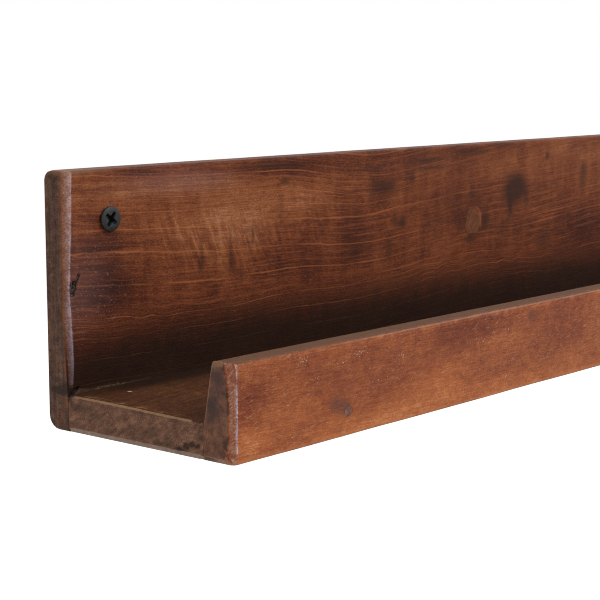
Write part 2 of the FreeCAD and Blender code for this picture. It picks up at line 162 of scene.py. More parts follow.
# %% Stage and light
FLOOR_DROP = 1.15
FLOOR_HALF = 6.0
FLOOR_TONE = (0.8, 0.8, 0.8, 1.0)
FLOOR_GLOW = (0.36, 0.75)
GLOW_REACH = (0.9, 2.6)
WORLD_TONE = (1.0, 0.985, 0.96, 1.0)
WORLD_LIGHT = 0.56
KEY_PLACE = (0.75, -1.6, 1.25)
KEY_AIM = (-0.1, -0.03, -0.02)
KEY_SIZE = 0.9
KEY_POWER = 30.0
FILL_PLACE = (-1.5, -0.6, 0.9)
FILL_SIZE = 1.2
FILL_POWER = 3.5
PIXEL_FILTER = 1.1


def add(tree, kind, inputs=(), output=0, **settings):
    """Add one shader node, feed its inputs with sockets or plain values, return an output."""
    node = tree.nodes.new("ShaderNode" + kind)
    for option, value in settings.items():
        setattr(node, option, value)
    for place, value in dict(inputs).items():
        if isinstance(value, bpy.types.NodeSocket):
            tree.links.new(value, node.inputs[place])
        else:
            node.inputs[place].default_value = value
    return node.outputs[output]


def seen_plainly(tree):
    """One where a ray comes from the camera, a mirror or a glass, and zero elsewhere."""
    path = tree.nodes.new("ShaderNodeLightPath")
    gloss = add(tree, "Math", {0: path.outputs["Is Glossy Ray"],
                               1: path.outputs["Is Transmission Ray"]}, operation="MAXIMUM")
    return add(tree, "Math", {0: path.outputs["Is Camera Ray"], 1: gloss}, operation="MAXIMUM")


def make_world():
    """An even soft light on the object, and plain white to the camera, mirrors and glass."""
    world = bpy.data.worlds.new("studio")
    bpy.context.scene.world = world
    world.use_nodes = True
    tree = world.node_tree
    tree.nodes.clear()
    soft = add(tree, "Background", {"Color": WORLD_TONE, "Strength": WORLD_LIGHT})
    white = add(tree, "Background", {"Color": (1, 1, 1, 1), "Strength": 1.0})
    mixed = add(tree, "MixShader", {0: seen_plainly(tree), 1: soft, 2: white})
    surface = tree.nodes.new("ShaderNodeOutputWorld")
    tree.links.new(mixed, surface.inputs["Surface"])


def make_floor():
    """A matt floor, with a glow that the camera, mirrors and glass see. It grows with the
    distance from the middle: a smooth slope from the first glow to the second over the reach."""
    corners = [(-FLOOR_HALF, -FLOOR_HALF), (FLOOR_HALF, -FLOOR_HALF),
               (FLOOR_HALF, FLOOR_HALF), (-FLOOR_HALF, FLOOR_HALF)]
    mesh = bpy.data.meshes.new("floor")
    mesh.from_pydata([(x, y, -FLOOR_DROP) for x, y in corners], [], [(0, 1, 2, 3)])
    floor = bpy.data.objects.new("floor", mesh)
    bpy.context.scene.collection.objects.link(floor)
    material = bpy.data.materials.new("pale_floor")
    material.use_nodes = True
    tree = material.node_tree
    tree.nodes.clear()
    matt = add(tree, "BsdfDiffuse", {"Color": FLOOR_TONE})
    apart = add(tree, "VectorMath", {0: add(tree, "TexCoord", output=3)}, 1, operation="LENGTH")
    glow = add(tree, "MapRange", {"Value": apart, "From Min": GLOW_REACH[0],
                                  "From Max": GLOW_REACH[1], "To Min": FLOOR_GLOW[0],
                                  "To Max": FLOOR_GLOW[1]}, interpolation_type="SMOOTHSTEP")
    glow = add(tree, "Math", {0: glow, 1: seen_plainly(tree)}, operation="MULTIPLY")
    lift = add(tree, "Emission", {"Color": (1, 1, 1, 1), "Strength": glow})
    both = add(tree, "AddShader", {0: matt, 1: lift})
    surface = tree.nodes.new("ShaderNodeOutputMaterial")
    tree.links.new(both, surface.inputs["Surface"])
    mesh.materials.append(material)


def make_lamp(name, place, aim, size, power):
    """A square soft box at a place, turned to face its aim."""
    light = bpy.data.lights.new(name, "AREA")
    light.size = size
    light.energy = power
    lamp = bpy.data.objects.new(name, light)
    lamp.location = place
    towards = Vector(aim) - Vector(place)
    lamp.rotation_euler = towards.to_track_quat("-Z", "Y").to_euler()
    bpy.context.scene.collection.objects.link(lamp)


make_world()
make_floor()
make_lamp("key", KEY_PLACE, KEY_AIM, KEY_SIZE, KEY_POWER)
make_lamp("fill", FILL_PLACE, KEY_AIM, FILL_SIZE, FILL_POWER)
bpy.context.scene.view_settings.view_transform = "Standard"
bpy.context.scene.cycles.filter_width = PIXEL_FILTER
print("stage set, floor %.2f m below the screws" % FLOOR_DROP)

# %% [markdown]
# A board is a section carried along the ledge. The section is drawn like a template: a few
# corners, each with its rounding. Straight runs are cut into short pieces, because the surface
# later gets small waves and dents, and those need points to move.

# %% The template of a section
ARC_PIECES = 5


def outline(corners):
    """A closed section from corners given as (y, up, rounding, piece).

    A rounding arc touches the straight runs on both sides of its corner: each tangent point lies
    rounding / tan(half the inner angle) from the corner. The run that follows the arc is cut into
    pieces of about the given length.
    """
    spots = np.array([corner[:2] for corner in corners], float)
    back = np.roll(spots, 1, axis=0) - spots
    ahead = np.roll(spots, -1, axis=0) - spots
    back /= np.linalg.norm(back, axis=1)[:, None]
    ahead /= np.linalg.norm(ahead, axis=1)[:, None]
    half = np.arccos(np.clip((back * ahead).sum(1), -1, 1)) / 2
    runs = []
    arcs = []
    for spot, to_back, to_ahead, angle, corner in zip(spots, back, ahead, half, corners):
        rounding = corner[2]
        if rounding == 0:
            arcs.append(spot[None, :])
            continue
        middle = to_back + to_ahead
        centre = spot + middle / np.linalg.norm(middle) * rounding / math.sin(angle)
        first = spot + to_back * rounding / math.tan(angle) - centre
        last = spot + to_ahead * rounding / math.tan(angle) - centre
        sweep = np.arctan2(np.cross(first, last), first @ last)
        turns = np.linspace(0, sweep, ARC_PIECES + 1)[:, None]
        side = np.array([-first[1], first[0]])
        arcs.append(centre + np.cos(turns) * first + np.sin(turns) * side)
    for arc, following, corner in zip(arcs, arcs[1:] + arcs[:1], corners):
        gap = following[0] - arc[-1]
        pieces = max(1, round(np.linalg.norm(gap) / corner[3]))
        shares = np.arange(1, pieces)[:, None] / pieces
        runs.append(np.vstack([arc, arc[-1] + shares * gap]))
    return np.vstack(runs)


def outward(section):
    """Each point's way out: the two neighbouring edges' normals added, long enough that a shift
    by one unit moves both edges by one unit."""
    edges = np.roll(section, -1, axis=0) - section
    edges /= np.linalg.norm(edges, axis=1)[:, None]
    normals = np.stack([edges[:, 1], -edges[:, 0]], axis=1)
    area = 0.5 * np.sum(section[:, 0] * np.roll(section[:, 1], -1)
                        - section[:, 1] * np.roll(section[:, 0], -1))
    normals *= math.copysign(1.0, area)
    before = np.roll(normals, 1, axis=0)
    return (normals + before) / (1 + (normals * before).sum(1))[:, None]


print("a square with rounded corners has",
      len(outline([(0, 0, 1, 9), (9, 0, 1, 9), (9, 9, 1, 9), (0, 9, 1, 9)])), "points")

# %% [markdown]
# The three templates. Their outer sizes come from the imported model, and the roundings are those of
# a plane and of years of hands. Pieces are small where a gouge, a crack or a chip will need
# points, and large on faces that nobody sees.

# %% The sections of the three boards
FACE_PIECE = 1.0
HIDDEN_PIECE = 8.0
EDGE_PIECE = 1.2
FINE_PIECE = 0.4
JOINT_ROUND = 0.12
REAR_FOOT_ROUND = 4.4
REAR_TOP_ROUND = 0.6
FRONT_TOP_ROUND = 1.0
TOP_BAND = 5.0
GOUGE_BAND = (38.0, 54.0)
CRACK_BAND = (-0.8, 3.6)
CHIP_BAND = 3.2
BACK_SECTION = outline([
    (0.0, 0.0, REAR_FOOT_ROUND, HIDDEN_PIECE),
    (0.0, BACK_HEIGHT - TOP_BAND, 0.0, FACE_PIECE),
    (0.0, BACK_HEIGHT, REAR_TOP_ROUND, FACE_PIECE / 2),
    (BACK_FACE, BACK_HEIGHT, FRONT_TOP_ROUND, FACE_PIECE),
    (BACK_FACE, GOUGE_BAND[1], 0.0, FACE_PIECE / 2),
    (BACK_FACE, GOUGE_BAND[0], 0.0, FACE_PIECE),
    (BACK_FACE, SHELF_TOP + CRACK_BAND[1], 0.0, FINE_PIECE),
    (BACK_FACE, SHELF_TOP + CRACK_BAND[0], 0.0, 2 * FACE_PIECE),
    (BACK_FACE, 0.0, JOINT_ROUND, EDGE_PIECE),
])
SHELF_SECTION = outline([
    (BACK_FACE, 0.0, JOINT_ROUND, HIDDEN_PIECE / 3),
    (BACK_FACE, SHELF_TOP, JOINT_ROUND, FINE_PIECE),
    (BACK_FACE - CHIP_BAND, SHELF_TOP, 0.0, FACE_PIECE),
    (LIP_REAR, SHELF_TOP, JOINT_ROUND, HIDDEN_PIECE / 3),
    (LIP_REAR, 0.0, JOINT_ROUND, 2 * FACE_PIECE),
])
LIP_TOP_THICK = 8.5
LIP_LEAN = (-67.6, 19.0)
LIP_LEAN_START = 10.0
KNEE_ROUND = 4.0
LIP_TOP_ROUNDS = (1.6, 1.3)
LIP_FOOT_ROUND = 0.8
LIP_SECTION = outline([
    (LIP_REAR, 0.0, JOINT_ROUND, EDGE_PIECE),
    (LIP_REAR, LIP_LEAN_START, KNEE_ROUND, EDGE_PIECE),
    (*LIP_LEAN, KNEE_ROUND, EDGE_PIECE),
    (LIP_FACE + LIP_TOP_THICK, LIP_HEIGHT, LIP_TOP_ROUNDS[0], FACE_PIECE),
    (LIP_FACE, LIP_HEIGHT, LIP_TOP_ROUNDS[1], FACE_PIECE),
    (LIP_FACE, 0.0, LIP_FOOT_ROUND, EDGE_PIECE),
])
print("points round the back %d, shelf %d, lip %d" % (
    len(BACK_SECTION), len(SHELF_SECTION), len(LIP_SECTION)))

# %% [markdown]
# Old hand-worked boards are never quite straight. A sum of a few long slanting waves gives each
# face its own slight swell. The waves only ever take wood away, as a plane and years of handling
# do, so the board never grows past its real size. A Displace modifier with a noise texture could
# do it as well, but a formula keeps the shape in one array, where bevel and gouge are added to it.

# %% Waves in a worn surface


def waves(along, across, lengths, seed):
    """Smooth unevenness from 0 to 1: slanting sine waves of the given lengths, added up."""
    random = np.random.default_rng(seed)
    total = np.zeros(np.broadcast(along, across).shape)
    for length in lengths:
        slant = random.uniform(-0.5, 0.5)
        start = random.uniform(0, 2 * math.pi)
        total += np.sin(2 * math.pi * (along + slant * across * 4) / length + start)
    return 0.5 + 0.5 * total / len(lengths)


def soft_step(value, low, high):
    """Zero below low, one above high, and a smooth slope between them."""
    share = np.clip((value - low) / (high - low), 0, 1)
    return share * share * (3 - 2 * share)


def soft_larger(first, second, blend):
    """The larger of two values, with the corner between them rounded over a small blend."""
    return 0.5 * (first + second + np.sqrt((first - second) ** 2 + blend ** 2))


def bell(distance, width):
    """One at no distance, fading away past the width: exp(-(distance / width) ** 2)."""
    return np.exp(-(distance / width) ** 2)


def to_end(along):
    """How far each point is from the nearer end: the smaller of along and length - along."""
    return np.minimum(along, LENGTH - along)


print("a wave runs from %.2f to %.2f" % (
    waves(np.arange(LENGTH), 0.0, (90, 41, 23), 3).min(),
    waves(np.arange(LENGTH), 0.0, (90, 41, 23), 3).max()))

# %% [markdown]
# The sweep lays the section down at many stations. Near each end the stations crowd together:
# first the rings that close the end grain, drawn in towards a line in its middle, then the rings
# that roll over the arris, and then those of the pared bevel, whose width changes with height.
# Both ends use the same rings, so the right end is the left one in a mirror.

# %% The stations of a sweep
CAP_SHARES = np.array([0.94, 0.76, 0.58, 0.4, 0.22, 0.08])
ARRIS_TURNS = np.radians([90, 68, 45, 22, 0])
BEVEL_STEPS = np.array([0.12, 0.3, 0.5, 0.7, 0.86, 0.95, 1.0, 1.05, 1.14, 1.3])
BEYOND_SHARES = np.array([0.25, 0.5, 0.75])
PLAIN_START = 4.8
FIRST_GAP = 0.45
GAP_GROWTH = 1.06
STATION_GAP = 1.25
JOINT_EASE = 0.1
JOINT_FADE = (0.2, 1.4)


def plain_stations():
    """Distances from the left end with small gaps near both ends and even ones between."""
    gaps = np.minimum(FIRST_GAP * GAP_GROWTH ** np.arange(LENGTH), STATION_GAP)
    near = PLAIN_START + np.concatenate([[0.0], np.cumsum(gaps)])
    near = near[near < LENGTH / 2 - STATION_GAP / 2]
    return np.concatenate([near, LENGTH - near[::-1]])


def stations(ease, run):
    """For every ring and point: the distance along, how far it is drawn in, and the cap share.

    On the arris both the distance and the draw follow a quarter circle: ease * (1 - sin turn)
    and ease * (1 - cos turn). The bevel's rings lie at shares of its run behind that.
    """
    nothing = np.zeros(len(ease))
    caps = np.repeat(nothing[None], len(CAP_SHARES), axis=0)
    arris = ease * (1 - np.sin(ARRIS_TURNS))[:, None]
    bevel = ease + run * BEVEL_STEPS[:, None]
    beyond = bevel[-1] + (PLAIN_START - bevel[-1]) * BEYOND_SHARES[:, None]
    middle = np.repeat(plain_stations()[:, None], len(ease), axis=1)
    near = np.vstack([caps, arris, bevel, beyond])
    drawn = np.vstack([caps + ease, ease * (1 - np.cos(ARRIS_TURNS))[:, None],
                       0 * bevel, 0 * beyond])
    share = np.concatenate([CAP_SHARES, np.zeros(len(near) - len(CAP_SHARES))])[:, None]
    along = np.vstack([near, middle, LENGTH - near[::-1]])
    inset = np.vstack([drawn, 0 * middle, drawn[::-1]])
    towards = np.vstack([share, np.zeros((len(middle), 1)), share[::-1]])
    return along, inset, towards


def joint_ease(section, ease, joints):
    """The easing of each point, drawn down to almost nothing along the glued joints.

    A joint is an upright line in the section at y, from the underside to the shelf's top.
    """
    beside = [np.hypot(section[:, 0] - y, np.clip(section[:, 1] - SHELF_TOP, 0, None))
              for y in joints]
    return JOINT_EASE + (ease - JOINT_EASE) * soft_step(np.min(beside, axis=0), *JOINT_FADE)


def nearest_on(spine, y, up):
    """The nearest point to each (y, up) on the straight line between the spine's two ends."""
    (y0, z0), (y1, z1) = spine
    share = ((y - y0) * (y1 - y0) + (up - z0) * (z1 - z0)) / ((y1 - y0) ** 2 + (z1 - z0) ** 2)
    share = np.clip(share, 0, 1)
    return y0 + share * (y1 - y0), z0 + share * (z1 - z0)


print("rings:", len(stations(np.zeros(1), np.zeros(1))[0]))

# %% [markdown]
# numpy works out every point in one go, and `from_pydata` turns the arrays into a mesh. Rings of
# points make any solid with a long axis, a board as well as a screw, and the first and the last
# ring are each closed with one flat face.

# %% From arrays to a mesh


def ring_faces(rings, points):
    """The four-sided faces between neighbouring rings, as an array of point numbers."""
    start = np.arange(rings - 1)[:, None] * points
    here = np.arange(points)[None, :]
    after = (here + 1) % points
    quads = np.stack([start + here, start + after,
                      start + points + after, start + points + here], axis=-1)
    return quads.reshape(-1, 4)


def mesh_object(name, places, faces, smooth=True):
    """A new object from places in bench millimetres and a list of faces, normals outwards."""
    mesh = bpy.data.meshes.new(name)
    mesh.from_pydata(places.reshape(-1, 3) * MM + BENCH_ZERO, [], faces)
    shape = bmesh.new()
    shape.from_mesh(mesh)
    bmesh.ops.recalc_face_normals(shape, faces=shape.faces)
    shape.to_mesh(mesh)
    shape.free()
    if smooth:
        mesh.shade_smooth()
    thing = bpy.data.objects.new(name, mesh)
    bpy.context.scene.collection.objects.link(thing)
    return thing


def close_rings(name, along, y, up, smooth=True):
    """Join rings of points into a closed solid, with one flat face at each end."""
    rings, points = along.shape
    faces = ring_faces(rings, points).tolist()
    faces.append(list(range(points)))
    faces.append(list(range((rings - 1) * points, rings * points)))
    return mesh_object(name, np.stack([along, y, up], axis=-1), faces, smooth)


print("faces between 3 rings of 4 points:", len(ring_faces(3, 4)))

# %% [markdown]
# One function carves all three boards, in the order that a joiner would: the section is run along
# the ledge, a knife pares the upright front edge of each end, years wear the faces, a plane takes
# off the lower arris of the end, and the end grain is left a little rough. A bevel cut by a Boolean
# would leave long thin faces that can't be worn, so the bevel moves the points themselves.

# %% Carve a board
CREASE_BLEND = 0.2
FULL_CREASE = 0.4
END_ROUGH = 0.08
FOOT_RUN = 0.9
FOOT_REACH = 5.0


def carve_board(name, section, spine, ease, bevel, rear, worn, foot):
    """Sweep a section along the ledge, pare its ends and wear its faces.

    bevel gives depth and run at each height. A point moves back by depth * (1 - way / run), where
    way is its distance past the arris, times its place between the rear face, 0, and the front
    face, 1. worn gives how far the surface is drawn in at each point, and how far the point is
    shifted in y and up as well. The lower arris of the end is planed off by the height foot. The
    end grain's rings then go a share of the way to the spine.
    """
    front = section[:, 0].min()
    depth, run = bevel(section[:, 1])
    along, inset, towards = stations(ease, run)
    y = np.repeat(section[None, :, 0], len(along), axis=0)
    up = np.repeat(section[None, :, 1], len(along), axis=0)
    from_end = to_end(along)
    way = np.clip(from_end - ease, 0, None)
    blend = CREASE_BLEND * np.clip(depth / FULL_CREASE, 0, 1)
    cut = soft_larger(depth * (1 - way / run), 0 * y, blend)
    forward = np.clip((rear(up) - y) / (rear(up) - front), 0, 1)
    y = y + cut * forward
    ways = outward(section)
    draw, shift_y, shift_up = worn(along, y, up, forward)
    draw = draw + inset
    mid_y, mid_up = nearest_on(spine, y, up)
    y = y - draw * ways[:, 0] + shift_y
    up = up - draw * ways[:, 1] + shift_up
    up = up + foot * np.clip(1 - from_end / FOOT_RUN, 0, 1) * np.clip(1 - up / FOOT_REACH, 0, 1)
    y = y + towards * (mid_y - y)
    up = up + towards * (mid_up - up)
    rough = END_ROUGH * waves(y * 6, up * 5, (31, 17, 11), 7)
    rough *= soft_step(towards, 0.0, 0.4) * (towards < 0.9)
    along = along + np.where(along < LENGTH / 2, rough, -rough)
    return close_rings(name, along, y, up)


print("points of the back board before its holes:",
      len(stations(np.zeros(1), np.zeros(1))[0]) * len(BACK_SECTION))

# %% [markdown]
# The back board's end is pared with a knife: a bevel that is deep at the waist, shallower at the
# top and almost gone at the foot. Two short curves, one for its depth and one for its width, say
# all of that. A gouge has torn out a splinter just beside it, a crack runs along the joint, and
# the upper rear corner is rounded off towards both ends. The face has only slow swells: its fine
# ripples are colour, and no points are spent on them.

# %% Back board shape
BACK_SPINE = ((BACK_FACE / 2, 5.0), (BACK_FACE / 2, BACK_HEIGHT - 5.0))
BEVEL_UP = (0, 13, 17, 19.4, 22, 25.5, 31.6, 38, 44, 48.5, 56, 71, 80)
BEVEL_DEPTH = (0.0, 0.0, 0.03, 0.15, 0.3, 0.6, 0.85, 1.5, 0.95, 1.0, 1.35, 1.25, 1.2)
BEVEL_RUN = (0.6, 1.7, 2.0, 2.2, 2.2, 2.05, 1.7, 1.3, 0.9, 1.4, 1.75, 2.5, 2.8)
BACK_EASE = 0.5
REAR_EASE = 0.3
GOUGES = [(((5.5, 48.0), (4.2, 45.6)), 0.42, 1.0), (((3.8, 45.4), (2.8, 42.4)), 0.75, 1.4),
          (((3.6, 46.0), (2.3, 45.0)), 0.45, 1.2)]
CRACK = (((0.5, 11.1), (4.2, 13.0)), 0.4, 1.2)
BACK_FOOT = 0.2
CORNER_ROUND = 3.1
CORNER_REACH = 2.6
FILLER_PLACE = middle_of("knot_filler")
FILLER_REACH = 16.0
FACE_WORN = 0.03
FACE_SWELL = 0.2
TOP_WORN = 0.08


def gouge_depth(along, up, gouges):
    """Torn dents: each deepest on its line, ragged by fast waves, and gone past its width."""
    ragged = 0.8 + 0.4 * waves(along * 9, up * 3, (13, 7, 5), 5)
    deepest = 0 * along
    for line, width, depth in gouges:
        line_along, line_up = nearest_on(line, along, up)
        apart = np.hypot(along - line_along, up - line_up)
        deepest = np.maximum(deepest, depth * np.exp(-(apart / width) ** 4))
    return deepest * ragged


def flush(along, up, places, reach):
    """Zero on pieces let into a face and one far from them, so that they stay level with it."""
    near = [np.exp(-((along - x) ** 2 + (up - z) ** 2) / reach ** 2) for x, z in places]
    return 1 - np.clip(sum(near), 0, 1)


def back_bevel(up):
    """Depth and run of the bevel at each height, straight between the heights that are listed."""
    return np.interp(up, BEVEL_UP, BEVEL_DEPTH), np.interp(up, BEVEL_UP, BEVEL_RUN)


def round_corner(y, up, radius):
    """How far each point moves to round off the upper rear corner: every point of the square
    round the arc's centre goes straight towards it, by the square's share outside the circle."""
    out_y = np.clip(radius + y, 0, None)
    out_up = np.clip(radius + up - BACK_HEIGHT, 0, None)
    length = np.maximum(np.hypot(out_y, out_up), 1e-6)
    shrink = np.where((out_y > 0) & (out_up > 0), np.maximum(out_y, out_up) / length - 1, 0)
    return out_y * shrink, out_up * shrink


def back_worn(along, y, up, forward):
    """The back's wear: a slow swell of its face, a wavy top, round corners, gouge and crack."""
    level = flush(along, up, [FILLER_PLACE], FILLER_REACH)
    face = FACE_WORN + FACE_SWELL * waves(along, up, (160, 71, 37), 11) * level
    face *= soft_step(-up, -BACK_HEIGHT, 4 - BACK_HEIGHT) * soft_step(up, SHELF_TOP - 1, SHELF_TOP + 2)
    edge = TOP_WORN * waves(along, 0.0, (230, 96, 41), 12)
    edge = edge * soft_step(up, BACK_HEIGHT - 3, BACK_HEIGHT)
    corner = round_corner(y, up, CORNER_ROUND * bell(to_end(along), CORNER_REACH))
    torn = gouge_depth(along, up, GOUGES + [CRACK])
    return (face + torn) * (forward > 0.9) + edge, *corner


def make_back_board():
    """The back board: its end arrises are finer in the rear half of its thickness."""
    ease = np.where(BACK_SECTION[:, 0] > BACK_FACE / 2, REAR_EASE, BACK_EASE)
    ease = joint_ease(BACK_SECTION, ease, [BACK_FACE])
    return carve_board("back_board_wood", BACK_SECTION, BACK_SPINE, ease, back_bevel,
                       lambda up: 0 * up, back_worn, BACK_FOOT)


back = make_back_board()
print("back board faces:", len(back.data.polygons))

# %% [markdown]
# The shelf board has no bevel, because its end lies between the two others. Its upper edge at the
# end is worn round, its top has cupped, as a board does that dries from one side, and the corner
# beside the back board has chipped off, which leaves a small dark gap. The same function carves it
# as the others, with a bevel of no depth.

# %% Shelf board shape
SHELF_SPINE = ((BACK_FACE - 5.5, 5.5), (LIP_REAR + 5.5, 5.5))
SHELF_EASE = 0.55
SHELF_WORN = 0.8
SHELF_FOOT = 1.3
SHELF_CUP = 0.45
CHIP_DEPTH = 1.8
CHIP_LENGTH = 3.2
CHIP_WIDTH = 0.8
CUP_BAND = (-62, -18)
UNPARED_RUN = 2.8
SHELF_SUNK = 0.2
SHELF_SWELL = 0.1


def shelf_bevel(up):
    """No depth at any height. The run only says how far the fine rings reach."""
    return 0 * up, UNPARED_RUN + 0 * up


def shelf_worn(along, y, up, forward):
    """The shelf's wear: it has cupped up towards the back, and its rear corners are chipped."""
    top = soft_step(up, SHELF_TOP - 2, SHELF_TOP)
    swell = SHELF_SUNK + SHELF_SWELL * waves(along, y, (120, 67, 43), 21)
    swell = swell - SHELF_CUP * soft_step(y, *CUP_BAND)
    ragged = 0.6 + 0.8 * waves(along * 8, y * 4, (23, 13, 7), 22)
    chip = bell(to_end(along), CHIP_LENGTH) * bell(y - BACK_FACE, CHIP_WIDTH)
    sunk = (swell + CHIP_DEPTH * chip * ragged * (up > SHELF_TOP - 1)) * top
    return 0 * up, 0 * up, -sunk


def make_shelf_board():
    """The shelf board: its upper end arris is worn further than the lower one."""
    ease = np.where(SHELF_SECTION[:, 1] > SHELF_TOP - 0.6, SHELF_WORN, SHELF_EASE)
    ease = joint_ease(SHELF_SECTION, ease, [BACK_FACE, LIP_REAR])
    return carve_board("shelf_board_wood", SHELF_SECTION, SHELF_SPINE, ease, shelf_bevel,
                       lambda up: BACK_FACE + 0 * up, shelf_worn, SHELF_FOOT)


shelf = make_shelf_board()
print("shelf board faces:", len(shelf.data.polygons))

# %% [markdown]
# The lip keeps pictures from sliding off. Its rear leans in above the shelf, so it is thinner at
# its top, and its bevel gets deeper there. The tops of old ledges are wavy from handling, which
# three slow waves give. Round the dots of filler the face stays level, so that they stay flush.

# %% Lip shape
LIP_SPINE = ((-72.0, 6.0), (-73.6, 24.5))
LIP_EASE = 0.45
LIP_FOOT = 1.3
LIP_BEVEL_UP = (0, 1.5, 3, 7.5, 16, 19, 22, 24.5, 27.3, 29.4)
LIP_BEVEL_DEPTH = (0.9, 1.0, 2.4, 1.9, 1.85, 2.1, 2.35, 2.9, 3.5, 4.0)
LIP_BEVEL_RUN = (1.0, 1.0, 1.05, 0.95, 1.15, 1.05, 0.95, 0.85, 0.6, 0.5)
DOT_REACH = 9.0
LIP_FACE_SWELL = 0.17
LIP_EDGE_WORN = 0.03
LIP_TOP_WORN = 0.1


def lip_bevel(up):
    """Depth and run of the bevel at each height, straight between the heights that are listed."""
    depth = np.interp(up, LIP_BEVEL_UP, LIP_BEVEL_DEPTH)
    return depth, np.interp(up, LIP_BEVEL_UP, LIP_BEVEL_RUN)


def lip_rear_face(up):
    """The rear face: upright beside the shelf, then leaning in towards the top."""
    return np.interp(up, (LIP_LEAN_START, LIP_LEAN[1], LIP_HEIGHT),
                     (LIP_REAR, LIP_LEAN[0], LIP_FACE + LIP_TOP_THICK))


def lip_worn(along, y, up, forward):
    """The lip's wear: a swell of its face, and gentle waves in its top and bottom edges."""
    level = flush(along, up, [middle_of(name) for name in DOTS], DOT_REACH)
    face = FACE_WORN + LIP_FACE_SWELL * waves(along, up, (140, 83, 47), 31) * level
    face = face * (forward > 0.9)
    foot = LIP_EDGE_WORN * waves(along, 0.0, (190, 88, 53), 32) * soft_step(-up, -3, 0)
    top = LIP_TOP_WORN * waves(along, 0.0, (210, 79, 37), 33)
    top = top * soft_step(up, LIP_HEIGHT - 4, LIP_HEIGHT)
    return face + top + foot * (forward > 0.9), 0 * up, 0 * up


def make_front_lip():
    """The lip, eased alike all round except along the joint with the shelf."""
    ease = joint_ease(LIP_SECTION, LIP_EASE, [LIP_REAR])
    return carve_board("front_lip_wood", LIP_SECTION, LIP_SPINE, ease, lip_bevel,
                       lip_rear_face, lip_worn, LIP_FOOT)


lip = make_front_lip()
print("lip faces:", len(lip.data.polygons))

# %% [markdown]
# Screws, pins and dots of filler sit in real holes, so the boards need those holes as well. A
# Boolean modifier cuts them. Its tools are turned solids for the countersunk seats, and copies of
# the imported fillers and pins, which then fit their holes exactly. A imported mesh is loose
# triangles, so a copy is merged before it can cut.

# %% Tools that cut holes
TURN_SIDES = 40
SEAT_OUTSIDE = 1.0
WALL_SEAT = 3.45
WALL_HOLE = 2.0
HIDDEN_SEAT = 3.9
HIDDEN_HOLE = 1.7
PILOT_HOLE = 1.5
PILOT_DEPTH = 21.0
CUTTER_OVERRUN = 1.5


def turned(name, centre, depths, radii):
    """A solid turned about an axis along y: radius given at each y, one ring of points for each.

    radii holds a single radius per ring, or one per ring and side for a thread.
    """
    turns = np.linspace(0, 2 * math.pi, TURN_SIDES, endpoint=False)
    depths = np.asarray(depths, float)
    radii = np.asarray(radii, float).reshape(len(depths), -1)
    y = np.repeat(depths[:, None], TURN_SIDES, axis=1)
    return close_rings(name, centre[0] + radii * np.cos(turns), y,
                       centre[1] + radii * np.sin(turns))


def copy_of(node):
    """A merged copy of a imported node, to cut with."""
    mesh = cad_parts[node].data.copy()
    shape = bmesh.new()
    shape.from_mesh(mesh)
    bmesh.ops.remove_doubles(shape, verts=shape.verts, dist=MM / 1000)
    shape.to_mesh(mesh)
    shape.free()
    thing = bpy.data.objects.new(node + "_cutter", mesh)
    bpy.context.scene.collection.objects.link(thing)
    return thing


def cut_holes(board, cutters):
    """Cut each tool out of a board in turn, make the result the board's mesh, drop the tools."""
    for cutter in cutters:
        modifier = board.modifiers.new("hole", "BOOLEAN")
        modifier.operation = "DIFFERENCE"
        modifier.solver = "MANIFOLD"
        modifier.object = cutter
    graph = bpy.context.evaluated_depsgraph_get()
    cut = bpy.data.meshes.new_from_object(board.evaluated_get(graph))
    board.modifiers.clear()
    board.data = cut
    for cutter in cutters:
        bpy.data.objects.remove(cutter)


print("a seat's tool reaches %.1f mm out of the face" % SEAT_OUTSIDE)

# %% [markdown]
# Each board is cut by all its tools at once. The seats of the wall screws open at the front and run
# through. Those of the shelf screws open at the rear, with a pilot hole further on in the shelf's
# rear edge. The pins go through the lip into the shelf, each behind its dot of filler.

# %% Cut the holes
seat_depths = (BACK_FACE - SEAT_OUTSIDE, BACK_FACE + WALL_SEAT - WALL_HOLE, CUTTER_OVERRUN)
seats = [turned(name + "_seat", middle_of(name), seat_depths,
                (WALL_SEAT + SEAT_OUTSIDE, WALL_HOLE, WALL_HOLE)) for name in WALL_SCREWS]
rear_depths = (BACK_FACE - CUTTER_OVERRUN, HIDDEN_HOLE - HIDDEN_SEAT, SEAT_OUTSIDE)
rears = [turned(name + "_seat", middle_of(name), rear_depths,
                (HIDDEN_HOLE, HIDDEN_HOLE, HIDDEN_SEAT + SEAT_OUTSIDE)) for name in SHELF_SCREWS]
cut_holes(back, seats + rears + [copy_of("knot_filler")])
pilots = [turned(name + "_pilot", middle_of(name),
                 (BACK_FACE - PILOT_DEPTH, BACK_FACE + CUTTER_OVERRUN),
                 (PILOT_HOLE, PILOT_HOLE)) for name in SHELF_SCREWS]
cut_holes(shelf, pilots + [copy_of(name) for name in PINS])
cut_holes(lip, [copy_of(name) for name in DOTS + PINS])
for board in (back, shelf, lip):
    print(board.name, "has", len(board.data.polygons), "faces with its holes cut")

# %% [markdown]
# The wall screws show, so each gets its real shape: a flat head with a small rim, the hollow curve
# of a bugle head, a neck, and a helical thread. A Screw modifier could wind the thread as a band of
# its own. Here it is a wave of the radius that climbs one pitch in a full turn, so that head, neck
# and thread stay one closed solid. A tapered cross is cut into the head.

